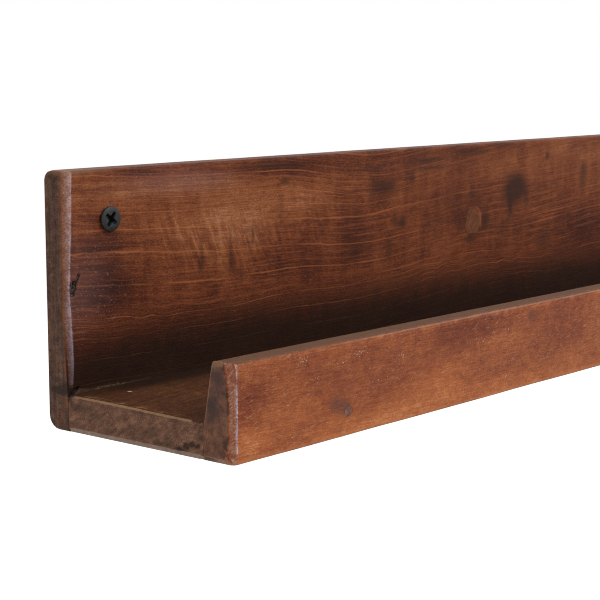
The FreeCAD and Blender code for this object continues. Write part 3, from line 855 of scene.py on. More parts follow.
# %% Wall screws
HEAD_RADIUS = 3.95
HEAD_RIM = 0.6
NECK_RADIUS = 1.4
BUGLE_BLEND = 0.9
ROOT_RADIUS = 1.2
CREST_RADIUS = 1.75
THREAD_PITCH = 1.5
THREAD_RINGS = 8
POINT_LENGTH = 4.5
RECESS_DEPTH = 2.3
RECESS_SPAN = 2.6
RECESS_ARM = 0.55
RECESS_HEART = 0.78
RECESS_LEAN = 0.2
EDGE_SOFT = 0.25
EDGE_BAND = 0.3
THREAD_FLANK = 0.32
TIP_RADIUS = 0.05
SHARP_ANGLE = 40
HEAD_RINGS = (0.0, 0.06, 0.15, 0.3, 0.6, 0.8, 1.1, 1.5, 1.9, 2.3, 2.7, 3.1, 3.6, 4.4, 6.0)
RECESS_TURNS = {"wall_screw_left": 55.0, "wall_screw_right": 27.5}


def screw_radii(past_head, past_wall, to_tip, turns):
    """The screw's radius at each distance and turn.

    Head: the larger of the neck and a cone that loses as much radius as it goes deep, with the
    corner between them rounded. Thread: root + (crest - root) * a sharp wave of
    distance / pitch - turn / full turn. Point: all of it times the distance left to the tip.
    """
    cone = HEAD_RADIUS - np.clip(past_head - HEAD_RIM, 0, None)
    smooth_edge = EDGE_SOFT * np.clip(1 - past_head / EDGE_BAND, 0, 1) ** 2
    head = soft_larger(cone, NECK_RADIUS, BUGLE_BLEND) - smooth_edge
    head = np.minimum(head, HEAD_RADIUS - smooth_edge)
    wave = (past_wall[:, None] / THREAD_PITCH - turns[None, :] / (2 * math.pi)) % 1.0
    crest = np.clip(1 - np.abs(wave - 0.5) / THREAD_FLANK, 0, 1)
    start = soft_step(past_wall, 0.0, THREAD_PITCH)[:, None]
    thread = ROOT_RADIUS + (CREST_RADIUS - ROOT_RADIUS) * crest * start
    radii = np.where(past_wall[:, None] > 0, thread, head[:, None])
    return np.maximum(radii * np.clip(to_tip / POINT_LENGTH, 0, 1)[:, None], TIP_RADIUS)


def recess_cutter(name, centre, face):
    """A cross with a filled-in heart, tapered: its outline shrinks by the lean on its way in."""
    arm, heart, span = RECESS_ARM, RECESS_HEART, RECESS_SPAN
    quarter = np.array([(span, -arm), (span, arm), (heart, heart)])
    turns = np.radians(RECESS_TURNS[name]) + np.arange(4) * math.pi / 2
    spots = np.vstack([quarter @ np.array([(math.cos(t), math.sin(t)), (-math.sin(t), math.cos(t))])
                       for t in turns])
    depths = np.array([-CUTTER_OVERRUN, RECESS_DEPTH])
    scale = 1 - RECESS_LEAN * depths / span * 2
    y = np.repeat(face + depths[:, None], len(spots), axis=1)
    return close_rings(name + "_recess", centre[0] + spots[:, 0] * scale[:, None], y,
                       centre[1] + spots[:, 1] * scale[:, None], smooth=False)


def make_wall_screw(name):
    """Turned from rings that are close together where the head curves, then the recess is cut."""
    low, high = node_box(name)
    face = low[1]
    tip = high[1]
    thread = np.arange(-0.1, tip, THREAD_PITCH / THREAD_RINGS)
    depths = np.concatenate([face + np.array(HEAD_RINGS), thread, [tip]])
    turns = np.linspace(0, 2 * math.pi, TURN_SIDES, endpoint=False)
    radii = screw_radii(depths - face, depths, tip - depths, turns)
    screw = turned(name + "_black", middle_of(name), depths, radii)
    cut_holes(screw, [recess_cutter(name, middle_of(name), face)])
    screw.data.set_sharp_from_angle(angle=math.radians(SHARP_ANGLE))
    return screw


black_screws = [make_wall_screw(name) for name in WALL_SCREWS]
print("faces in a wall screw:", len(black_screws[0].data.polygons))

# %% [markdown]
# The grain is what makes this wood. Its growth lines run along the board and sag together where
# the tree bent, so they can't come from a straight pattern. Five lines were followed at a few
# places along the board, and every point gets an unbent height: where it would lie if those
# lines were straight. Patterns then read that height, stored in the mesh as an attribute, instead
# of the real one. In a few places the lines also ripple, as they do where a branch once grew.

# %% Bend the grain
GRAIN_PLACES = (0, 40, 75, 105, 135, 155, 175, 215, 250, 285, 320, 380, 450, 520, 600)
GRAIN_LINES = {
    22.0: (22, 21, 20.5, 21, 20.3, 21, 22, 25, 26, 24, 25.5, 22, 24, 27, 25),
    34.0: (35.5, 31.8, 31.5, 33.2, 31.9, 32.3, 33.8, 37.5, 36, 37.5, 40.5, 35, 33, 37, 38),
    51.0: (56, 53.5, 50.7, 50.2, 47.6, 47, 48.5, 52.5, 54, 57, 60, 57, 51, 53, 57),
    60.5: (63, 60.4, 60.2, 59.6, 57.6, 58.2, 59.6, 63, 63.8, 65.5, 68, 65, 59, 60, 63),
    71.0: (72.5, 70.2, 69.6, 69.5, 65.5, 64.5, 66, 70.5, 74, 76.5, 79, 75, 70, 70, 72),
}
GROWTH_LINES = (-8.0, 0.0, 8.0, 15.0, 22.0, 28.5, 34.0, 43.0, 51.0, 60.5, 66.0, 71.0, 78.0, 86.0)
GRAIN_SMOOTHING = 31
RIPPLES = [(255, 31, 24, 7, 0.65, 2.8), (190, 31, 26, 7, 0.5, 3.4), (140, 62, 30, 8, 0.35, 4.0),
           (30, 30, 26, 8, 0.4, 2.4)]


def line_height(places, heights, along):
    """A line's height along the board: straight between its places, then averaged over a window."""
    board = np.arange(-GRAIN_SMOOTHING, LENGTH + GRAIN_SMOOTHING)
    window = np.hanning(GRAIN_SMOOTHING)
    even = np.convolve(np.interp(board, places, heights), window / window.sum(), mode="same")
    return np.interp(along, board, even)


def unbent_height(along, up):
    """Each point's height with the growth lines pulled straight.

    Between two lines the height keeps its share of the gap, and outside them its distance. Small
    ripples, each (along, up, half width, half height, rise, length), are then added.
    """
    flat = np.array(list(GRAIN_LINES))
    bent = np.array([line_height(GRAIN_PLACES, GRAIN_LINES[line], along) for line in flat])
    result = np.where(up < bent[0], flat[0] + up - bent[0], flat[-1] + up - bent[-1])
    for low in range(len(flat) - 1):
        share = (up - bent[low]) / (bent[low + 1] - bent[low])
        inside = (share >= 0) & (share <= 1)
        result = np.where(inside, flat[low] + share * (flat[low + 1] - flat[low]), result)
    for x, z, wide, tall, rise, length in RIPPLES:
        near = np.exp(-((along - x) / wide) ** 2 - ((up - z) / tall) ** 2)
        result += rise * near * np.sin(along / length + 1.3 * np.sin(along / length / 2.3) + up / 4)
    return result


print("at 135 mm along and 47.6 mm up, the unbent height is %.1f" % (
    unbent_height(np.array([135.0]), np.array([47.6]))[0]))

# %% [markdown]
# Stains, knots, wear and grease are painted on the points of the mesh, as a finisher would rub
# them in, and so are some painted shade and painted highlights. Each is one number per point, and
# the materials below mix their colours by it. A soft spot fades out from its middle, so a few of
# them make any smudge.

# %% Paint on the points


def points_of(thing):
    """Every point's place in bench millimetres, and the way it faces."""
    mesh = thing.data
    places = np.empty(len(mesh.vertices) * 3, np.float32)
    facing = np.empty(len(mesh.vertices) * 3, np.float32)
    mesh.vertices.foreach_get("co", places)
    mesh.vertex_normals.foreach_get("vector", facing)
    return (places.reshape(-1, 3) - BENCH_ZERO) / MM, facing.reshape(-1, 3)


def paint_on(thing, name, values):
    """Store one number or one vector per point under a name that materials can read."""
    kind, field = ("FLOAT_VECTOR", "vector") if values.ndim == 2 else ("FLOAT", "value")
    layer = thing.data.attributes.new(name, kind, "POINT")
    layer.data.foreach_set(field, values.astype(np.float32).ravel())


def paint_all(thing, **marks):
    """Store several numbers per point, each under its own name and kept from 0 to 1."""
    for name, values in marks.items():
        paint_on(thing, name, np.clip(values, 0, 1))


def soft_spots(along, up, spots):
    """Spots added up: amount * exp(-((along - x) / wide)^2 - ((up - z) / tall)^2) for each."""
    total = np.zeros(len(along))
    for x, z, wide, tall, amount in spots:
        total += amount * np.exp(-((along - x) / wide) ** 2 - ((up - z) / tall) ** 2)
    return total


def scattered_spots(seed, count, first, last, height):
    """Spots in places of their own for the stretch that the photograph doesn't show."""
    random = np.random.default_rng(seed)
    return [(random.uniform(first, last), random.uniform(0.2, 0.95) * height,
             random.uniform(1.5, 9.0), random.uniform(1.5, 5.0), random.uniform(0.25, 0.7))
            for _ in range(count)]


print("a spot is down to %.2f of its amount at its half width" % math.exp(-1))

# %% [markdown]
# Each spot is (along, up, half width, half height, amount). On the back board the photograph
# shows one knot that has bled, several smudges, a lighter worn area left of the middle, a dusty
# haze in the old finish near the end, and dark grease in the corner at its foot, where painted
# shade darkens it further. Long thin spots of tone give the broad streaks beside the screw.

# %% Where the back board is marked
BACK_STAINS = [
    (244, 60, 5.2, 5.5, 0.55), (251, 61.5, 6, 5.5, 0.9), (248, 58, 8.5, 9, 0.4),
    (244.5, 52.5, 1.6, 4, 0.6), (100.5, 70.6, 4.0, 1.1, 0.42),
    (257, 55.5, 1.8, 5, 0.5), (263, 62, 1.6, 1.6, 0.4), (273, 73, 2.0, 2.4, 0.8),
    (153, 65.8, 6, 3.6, 0.6), (161, 66.2, 7, 3.8, 0.7), (152, 70, 4, 2.0, 0.25),
    (176, 68.7, 2.4, 2.2, 0.8), (165, 54.3, 1.8, 3.6, 0.6), (170.5, 52.4, 2.4, 2.8, 0.75),
    (168, 51.5, 3.0, 1.5, 0.5), (161.5, 42.5, 3.0, 6.5, 0.65), (200, 58, 4, 5, 0.35),
    (216.5, 60, 2.0, 5.5, 0.55),
    (226, 49, 3.4, 4.4, 0.85), (216, 42, 5.5, 2.0, 0.75), (208.5, 48.5, 2.4, 5, 0.55),
    (302.5, 62, 4.2, 7, 0.6), (303.5, 67, 3.0, 3.0, 0.3), (270, 38, 8, 7, 0.55),
    (240, 45, 4, 4, 0.4), (141, 42, 5, 5, 0.5), (130, 65, 2.4, 7, 0.4), (102, 72, 3.6, 1.3, 0.65),
    (84.8, 55, 0.9, 4.2, 0.75), (82.5, 51.6, 2.2, 0.7, 0.6), (66, 38.5, 3.8, 0.8, 0.7),
    (59.5, 52, 1.2, 6.5, 0.55), (59.0, 46, 2.0, 3.0, 0.55), (73.8, 52, 1.2, 6.5, 0.55),
    (74.5, 45, 2.0, 4.5, 0.6), (79, 41, 1.4, 3.4, 0.55), (66, 51, 0.9, 7.5, 0.4),
    (95, 77.5, 20, 2.0, 0.6), (150, 73.5, 12, 1.3, 0.5), (185, 75, 16, 1.4, 0.7),
    (215, 77, 14, 1.6, 0.75), (240, 79, 12, 1.4, 0.6), (190, 72, 16, 1.1, 0.6),
] + scattered_spots(41, 16, 335, 590, 80)
BACK_HAZE = [(4, 50, 24, 20, 0.75), (2, 34, 20, 12, 0.35), (40, 75, 36, 6, 0.7),
             (88, 54, 16, 9, 0.35), (290, 74, 40, 9, 0.35), (216, 47, 5, 5, 0.4),
             (185, 74, 55, 8, 0.45), (62, 74, 26, 5, 0.5), (64, 56, 26, 9, 0.35),
             (420, 70, 60, 12, 0.5), (560, 50, 50, 26, 0.5)]
BACK_TONES = [
    (10, 73, 20, 6, 0.19), (98, 76, 26, 3.0, -0.34), (80, 57, 14, 10, 0.07),
    (66, 59, 30, 11, 0.32), (100, 64, 26, 8, 0.2), (60, 74, 34, 4, 0.22), (130, 70, 22, 6, 0.12),
    (20, 42, 15, 7, -0.35), (18, 55, 12, 6, -0.16), (30, 78, 12, 3, -0.2), (70, 26, 60, 8, -0.15),
    (110, 44, 22, 8, -0.12), (140, 49, 10, 8, -0.2), (200, 62, 30, 12, -0.05),
    (285, 75, 20, 6, 0.15), (235, 70, 18, 6, 0.1), (320, 66, 18, 14, 0.08),
    (300, 40, 26, 9, -0.2), (400, 62, 40, 14, 0.2), (470, 45, 30, 12, -0.2),
    (540, 62, 28, 12, 0.18), (585, 40, 18, 12, -0.2),
    (20, 75.4, 22, 0.5, 0.3), (10, 73.9, 12, 1.3, -0.22), (32, 71.8, 14, 1.1, 0.22),
    (12, 65.2, 8, 1.0, -0.2),
    (9, 61.0, 9, 0.5, 0.28), (14, 58.6, 14, 1.0, -0.14), (19, 55.0, 16, 1.1, -0.28),
    (16, 53.7, 20, 0.45, 0.34),
    (14, 49.5, 18, 1.6, -0.16), (17, 43.4, 8, 1.0, -0.4), (14, 38.4, 14, 1.6, -0.22),
]
BACK_GLOWS = [
    (66, 35.5, 5, 1.6, 0.5), (8, 31, 9, 6, 1.0), (50, 72, 50, 6, 0.5), (125, 65, 24, 5, 0.8),
    (130, 50, 26, 3, 0.5), (190, 33, 24, 5, 0.8), (245, 31, 20, 4, 0.7), (275, 47, 34, 7, 0.6),
    (90, 41, 20, 3, 0.7), (70, 30, 34, 4, 0.3),
]
# The first three end spots are the crack's painted shadow, a band just above the shelf.
BACK_END_SMUDGES_AND_CRACK_SHADOW = [(-5.0, 12.6, 4.2, 1.5, 1.0), (-7.6, 13.4, 2.0, 2.2, 0.9), (-2.4, 12.2, 1.6, 0.8, 0.6),
                   (-4.4, 46, 0.7, 12, 0.35), (-2.0, 66, 0.8, 10, 0.4), (-6.6, 30, 0.6, 8, 0.3),
                   (-8.3, 4.0, 0.5, 3.0, 0.5)]
BACK_END_RUST = [(-8.0, 20.5, 0.8, 4.0, 1.0), (-7.9, 9.0, 0.9, 2.6, 0.8), (-5.6, 4.6, 2.6, 2.6, 0.5),
                 (-8.2, 32, 0.5, 8, 0.6)]
RIM_WIDTH = 0.09
GUM_ALONG = (3.0, 4.4, 8, 13, 22, 34, 45)
GUM_TOP = (11.2, 13.1, 12.3, 11.9, 11.9, 11.8, 11.2)
CHATTER_SPOTS = [(55, 54, 16, 8, 0.9), (85, 52, 18, 8, 1.0), (40, 62, 10, 5, 0.4),
                 (120, 56, 12, 8, 0.4), (430, 55, 30, 10, 0.7), (520, 40, 16, 9, 0.5)]
print("spots on the back board:", len(BACK_STAINS + BACK_HAZE + BACK_TONES + BACK_GLOWS))

# %% [markdown]
# The paint goes on with soft masks. `front` is one on the face, `end` on the end grain, and `pared`
# on the bevel, which is found by the same two curves that cut it, so that the colour can't slip off
# the shape. Growth lines get their ring number from the unbent height.

# %% Paint the back board


def back_end(y, up, facing):
    """One where a point faces along the ledge and lies behind the bevel or beside the joint."""
    behind = BACK_FACE + back_bevel(up)[0]
    end = soft_step(np.abs(facing[:, 0]), 0.9, 0.97)
    glued = 1 - soft_step(up, SHELF_TOP - 1.0, SHELF_TOP - 0.4)
    return end * np.maximum(soft_step(y, behind + 0.2, behind + 0.5), glued)


def paint_back_edges(along, y, up, front):
    """Bevel, crease highlight, strip along the arris and rubbed top edge. Hands the bevel back."""
    from_end = to_end(along)
    depth, run = back_bevel(up)
    inner = BACK_EASE + run
    pared = front * (1 - soft_step(from_end, inner - 0.15, inner + 0.05))
    pared *= soft_step(from_end, 0.3, 0.55) * soft_step(up, 12.6, 15)
    # Painted highlight: a thin bright line along the crease between bevel and face.
    crease = bell(from_end - inner, 0.19) * front * soft_step(up, 13, 17)
    strip = (1 - soft_step(from_end, 0.3, 0.55)) * soft_step(up, 15, 20)
    strip *= soft_step(-y, -BACK_FACE - depth - 0.8, -BACK_FACE - depth - 0.4)
    rubbed = soft_step(up, BACK_HEIGHT - 1.6, BACK_HEIGHT - 0.5) * (1 - soft_step(from_end, 4, 26))
    # shaded is one low on the bevel, which gets painted shade there.
    paint_all(back, pared=pared, crease=crease * (1 - 0.5 * soft_step(up, 56, 70)), strip=strip,
              rubbed=rubbed, across=(from_end - BACK_EASE) / run, shaded=1 - soft_step(up, 24, 46))
    return pared


def paint_filler_rim(along, up, front):
    """Painted light and shade on a rim round the filler: lit at its upper right, shaded elsewhere.

    The filler's outline is where the cube root of |right|^3 + |above|^3 is 1.
    """
    low, high = node_box("knot_filler")
    right = (along - FILLER_PLACE[0]) / (high[0] - low[0]) * 2
    above = (up - FILLER_PLACE[1]) / (high[2] - low[2]) * 2
    ring = np.cbrt(np.abs(right) ** 3 + np.abs(above) ** 3)
    rim = bell(ring - 1.0 - RIM_WIDTH, RIM_WIDTH) * front
    # lit is one on the painted light side of the rim; the other side gets painted shade.
    lit = soft_step(right + above, 0.2, 1.0)
    paint_all(back, rim_light=rim * lit, rim_dark=rim * (1 - lit))


def paint_torn_places(along, up, front, end):
    """The gouge, the black crack, and gum below its wavy upper edge, with flakes along it."""
    paint_all(back, torn=gouge_depth(along, up, GOUGES) * front,
              black=gouge_depth(along, up, [CRACK]) * front)
    gum_top = np.interp(along, GUM_ALONG, GUM_TOP)
    sticky = front * (1 - end)
    flaky = soft_step(along, 10, 14) * (1 - soft_step(along, 21, 25))
    paint_all(back, gum=sticky * (1 - soft_step(up, gum_top - 0.2, gum_top + 0.2)),
              gum_edge=sticky * bell(up - gum_top, 0.25) * flaky)


def paint_back():
    """All the paint of the back board, from one reading of its points."""
    places, facing = points_of(back)
    along, y, up = places.T
    front = soft_step(-y, 5.0, 7.5)
    end = back_end(y, up, facing)
    pared = paint_back_edges(along, y, up, front)
    paint_filler_rim(along, up, front)
    paint_torn_places(along, up, front, end)
    height = unbent_height(along, up)
    paint_on(back, "grain", np.stack([along, y, height], axis=1))
    paint_on(back, "tone", soft_spots(along, up, BACK_TONES))
    paint_on(back, "rings", np.interp(height, GROWTH_LINES, np.arange(len(GROWTH_LINES))))
    # Painted shade and grime in the corner above the shelf: full below 14 mm up, gone above 44 mm.
    grime = front * (1 - soft_step(up, 14.0, 44.0)) * (1 - 0.4 * pared)
    paint_all(back, stain=soft_spots(along, up, BACK_STAINS) * front, end=end,
              glow=soft_spots(along, up, BACK_GLOWS), grime=grime * (1 - end),
              calm=soft_step(along, 125, 230) * (1 - soft_step(along, 335, 390)),
              haze=soft_spots(along, up, BACK_HAZE),
              chatter=np.clip(soft_spots(along, up, CHATTER_SPOTS), 0, 1) * front)
    print("points painted on the back:", len(along))


paint_back()

# %% [markdown]
# The shelf board is the darkest of the three. Its end is dull and brown, with a light line along
# the worn edge where the finish has rubbed off, and a dark stain near the lip. An arris is found by
# the way its points face: the upper one looks up and along at once, the planed one down and along.

# %% Paint the shelf board
SHELF_END_STAINS = [(-63.4, 3.9, 1.6, 0.8, 1.1), (-61.4, 4.1, 1.6, 0.9, 1.1), (-59.4, 3.2, 1.6, 0.9, 1.1),
                    (-57.2, 2.0, 2.0, 0.7, 1.1), (-53.5, 1.7, 2.4, 0.5, 0.6),
                    (-14.0, 8.2, 4.0, 1.8, 0.6), (-21, 6.6, 5.0, 1.2, 0.45), (-27, 3.2, 5.0, 1.2, 0.5),
                    (-44, 4.4, 5.0, 1.6, 0.5), (-50, 2.4, 5.0, 0.8, 0.6), (-10.2, 9.6, 1.2, 1.8, 0.7)]
SHELF_CHIP = (16.1, -19.3, SHELF_TOP)
SHELF_TOP_GLOWS = [(34, -38, 22, 8, 0.35), (60, -52, 20, 7, 0.3), (8, -11.2, 7, 0.7, 0.8),
                   (22, -12.0, 9, 0.8, 0.9), (40, -11.5, 6, 0.6, 0.6)]


def planed_foot(up, facing):
    """One on the planed lower arris of an end, which faces down and along at once."""
    planed = soft_step(-facing[:, 2], 0.08, 0.3) * soft_step(np.abs(facing[:, 0]), 0.15, 0.4)
    return planed * (1 - soft_step(up, 2.4, 3.0))


def paint_shelf():
    """All the paint of the shelf board: painted shade and grime at both sides of its top, worn arris,
    dashes.
    """
    places, facing = points_of(shelf)
    along, y, up = places.T
    from_end = to_end(along)
    top = soft_step(facing[:, 2], 0.5, 0.9)
    # Painted shade and grime on the top, in the corners beside the back board and the lip.
    grime = top * (1 - soft_step(-y, 11, 32)) + 0.4 * top * soft_step(-y, 60, 66)
    rubbed = soft_step(facing[:, 2], 0.04, 0.3) * soft_step(np.abs(facing[:, 0]), 0.1, 0.4)
    rubbed *= soft_step(-y, 10.0, 12.5) * (1 - soft_step(-y, 60.5, 62.5))
    dashes = top * soft_step(from_end, 0.9, 1.4) * (1 - soft_step(from_end, 2.6, 4.6))
    dashes *= soft_step(-y, 12, 16) * (1 - soft_step(-y, 48, 60))
    height = unbent_height(along, 22 - y * 0.6)
    paint_on(shelf, "grain", np.stack([along, up, height], axis=1))
    paint_all(shelf, glow=soft_spots(along, y, SHELF_TOP_GLOWS) * top, dashes=dashes,
              grime=grime * (0.7 + 0.3 * soft_step(from_end, 4, 30)), rubbed=rubbed,
              end=soft_step(np.abs(facing[:, 0]), 0.85, 0.97), eased=planed_foot(up, facing))
    print("points painted on the shelf:", len(along))


paint_shelf()

# %% [markdown]
# The lip has been handled on all sides. Its face has brown smudges and pale rubbed places, its long
# arrises carry a painted highlight where hands have polished them, and its rear is darkened above
# the shelf by painted shade and grime. The tones give the slow changes from light to dark wood
# along the face, which no single noise would put in the right places.

# %% Where the lip is marked
LIP_STAINS = [(45.5, 10.5, 5.4, 4.2, 0.85), (153.5, 25.2, 3.4, 2.6, 1.0), (61.5, 14.5, 4, 2.2, 0.45),
              (50.8, 8.1, 3.2, 3.2, 0.6), (46, 27.6, 5, 1.0, 0.6), (70, 12, 4, 2, 0.3),
              (102, 18, 0.8, 0.8, 0.8), (132, 12.5, 0.8, 0.8, 0.8), (169, 16, 0.9, 0.9, 0.8),
              (43, 3, 0.9, 0.7, 0.8), (50, 20, 0.7, 0.7, 0.6),
              ] + scattered_spots(43, 14, 185, 590, 29)
LIP_TONES = [(140, 2.5, 60, 4, 0.26), (60, 1.5, 40, 3, 0.2), (6, 5, 9, 5, 0.35),
             (5, 15, 6, 6, -0.22), (100, 10, 14, 6, 0.2), (10, 19, 8, 4, -0.2),
             (25, 9, 10, 5, 0.1), (75, 5, 18, 4, 0.2), (120, 25, 26, 4.5, -0.33), (180, 16, 18, 9, -0.2),
             (75, 8, 12, 5, -0.06), (135, 18, 18, 6, 0.1), (180, 9, 16, 6, 0.1),
             (240, 16, 24, 8, -0.15), (310, 12, 30, 8, 0.15), (420, 18, 30, 8, -0.15),
             (500, 10, 30, 8, 0.15), (570, 18, 18, 8, -0.1)]
PALE_SPOTS = [(30, 26, 3, 1.8, 1.2), (49, 23, 5, 1.6, 0.8), (56.5, 25, 5, 1.6, 1.0),
              (36.5, 20, 2, 1.4, 0.9), (77, 16, 10, 4, 0.4), (63, 15.5, 5, 1.0, 0.7),
              (24, 5, 5, 2, 0.6), (21.5, 14, 5, 3, 0.5), (130, 12, 20, 5, 0.4),
              (85, 27, 3, 1.2, 0.7), (78, 21, 4, 1.4, 0.8), (118, 20.5, 6, 1.2, 0.9),
              (128, 20, 4, 1.2, 0.8), (139, 22, 5, 1.2, 0.8), (161, 9.5, 10, 2.5, 0.6),
              (114, 4, 2, 1.2, 0.7), (137, 5.5, 2, 1.2, 0.7), (33, 4.5, 2, 2, 0.6),
              (230, 20, 14, 3, 0.7), (300, 8, 18, 3, 0.6), (390, 22, 20, 3, 0.7),
              (480, 12, 20, 4, 0.6), (560, 22, 16, 3, 0.6)]
LIP_END_STAINS = [(-74.6, 5.4, 1.3, 2.1, 1.1), (-73.0, 3.2, 1.4, 1.0, 0.6), (-69.6, 15.5, 2.4, 4.0, 0.8),
                  (-71.8, 24.5, 2.4, 2.6, 0.7), (-68.4, 12.5, 1.4, 1.6, 0.7)]
LIP_GRAIN_WAVE = (0.8, 47.0)
LIP_GRAIN_SLOPE = 0.012
print("spots on the lip:", len(LIP_STAINS + LIP_TONES + PALE_SPOTS))

# %% [markdown]
# The same masks as on the back board, with some of its own: `edge` is the dark border of the end
# grain beside the bevel, `crest` a painted highlight on the worn front arris of the top, and `rim`
# the light line round the rear and the top of the end. The grain runs nearly level, on a slow wave.

# %% Paint the lip


def paint_lip_end(along, y, up, facing):
    """End grain, its warm places, and the bevel in front of it. Hands the end and bevel back."""
    depth, run = lip_bevel(up)
    border = LIP_FACE + depth + 2.4 * (1 - soft_step(up, 1.0, 3.6))
    end = soft_step(np.abs(facing[:, 0]), 0.9, 0.97) * soft_step(y, border + 0.15, border + 0.45)
    inner = LIP_EASE + run
    pared = (1 - end) * (1 - soft_step(y, border + 0.2, border + 0.6))
    pared *= 1 - soft_step(to_end(along), inner - 0.2, inner)
    top_corner = soft_step(up, LIP_HEIGHT - 1.6, LIP_HEIGHT - 0.6)
    warm = end * np.clip(1 - soft_step(up, 9, 17) + top_corner, 0, 1)
    paint_all(lip, end=end, pared=pared, warm=warm)
    return end, pared


def paint_lip_arrises(along, y, up, facing, front, pared):
    """Crease highlight, border of the end, crest highlight, planed foot and rim. The last three stop
    at the bevel.
    """
    from_end = to_end(along)
    depth, run = lip_bevel(up)
    top = soft_step(facing[:, 2], 0.55, 0.85)
    # Painted highlight: a thin line along the crease between bevel and face.
    crease = bell(from_end - LIP_EASE - run, 0.18) * front * soft_step(up, 1.5, 4.0)
    edge = bell(y - LIP_FACE - depth - 0.35, 0.28) * (1 - soft_step(from_end, 0.3, 0.6))
    # Painted highlight along the rounded front arris of the top.
    crest = bell(facing[:, 2] - 0.55, 0.25) * (y < LIP_FACE + 2.4) * (up > LIP_HEIGHT - 2)
    rim = 1 - soft_step(lip_rear_face(up) - y, 0.35, 0.8)
    rim += soft_step(up, LIP_HEIGHT - 3.0, LIP_HEIGHT - 0.3)
    rim *= (1 - soft_step(from_end, 0.4, 0.9)) * soft_step(up, 11, 13)
    paint_all(lip, top=top, crease=crease, edge=edge * (1 - top),
              crest=crest * (1 - pared) * soft_step(along, 15, 70),
              eased=planed_foot(up, facing) * (1 - pared), rim=np.clip(rim, 0, 1) * (1 - pared))


def paint_lip():
    """All the paint of the lip, from one reading of its points."""
    places, facing = points_of(lip)
    along, y, up = places.T
    front = soft_step(-y, 74.0, 76.0) * soft_step(-facing[:, 1], 0.2, 0.6)
    end, pared = paint_lip_end(along, y, up, facing)
    paint_lip_arrises(along, y, up, facing, front, pared)
    rise, length = LIP_GRAIN_WAVE
    height = up + rise * np.sin(along / length) + LIP_GRAIN_SLOPE * along
    paint_on(lip, "grain", np.stack([along, y, height], axis=1))
    paint_on(lip, "tone", soft_spots(along, up, LIP_TONES))
    # Painted highlight: bands along the upper and lower arrises of the face, stored as glow.
    arris_highlight = bell(up - LIP_HEIGHT + 1.6, 0.5) * front + bell(up - 1.0, 1.2) * front
    # Painted shade and grime on the rear face, darker down towards the shelf.
    inner = soft_step(y, -72, -69) * (1 - soft_step(up, 9, 26)) * (1 - end)
    paint_all(lip, stain=soft_spots(along, up, LIP_STAINS) * front, glow=arris_highlight, grime=inner,
              pale=np.clip(soft_spots(along, up, PALE_SPOTS), 0, 1) * front)
    print("points painted on the lip:", len(along))


paint_lip()

# %% [markdown]
# A material is a recipe of small steps. Each step below adds a shader node or two and hands its
# output on, so that a recipe reads from top to bottom: patterns first, their sum, then colours.
# The same nodes could be laid out by hand in the editor, but the three woods share most of their
# steps, and a step that is written once is changed once.
# Colours are written as they look on screen and turned into the linear light that shaders use.

# %% A recipe book for materials
FRAY_SCALE = 0.9
FRAY_REACH = 2.6
SPOT_FADE = (1.7, 0.2)


def shade(red, green, blue):
    """A screen colour, 0 to 255, as linear light: ((c + 0.055) / 1.055) to the power 2.4."""
    screen = np.array([red, green, blue]) / 255
    linear = np.where(screen <= 0.04045, screen / 12.92, ((screen + 0.055) / 1.055) ** 2.4)
    return (*linear.tolist(), 1.0)


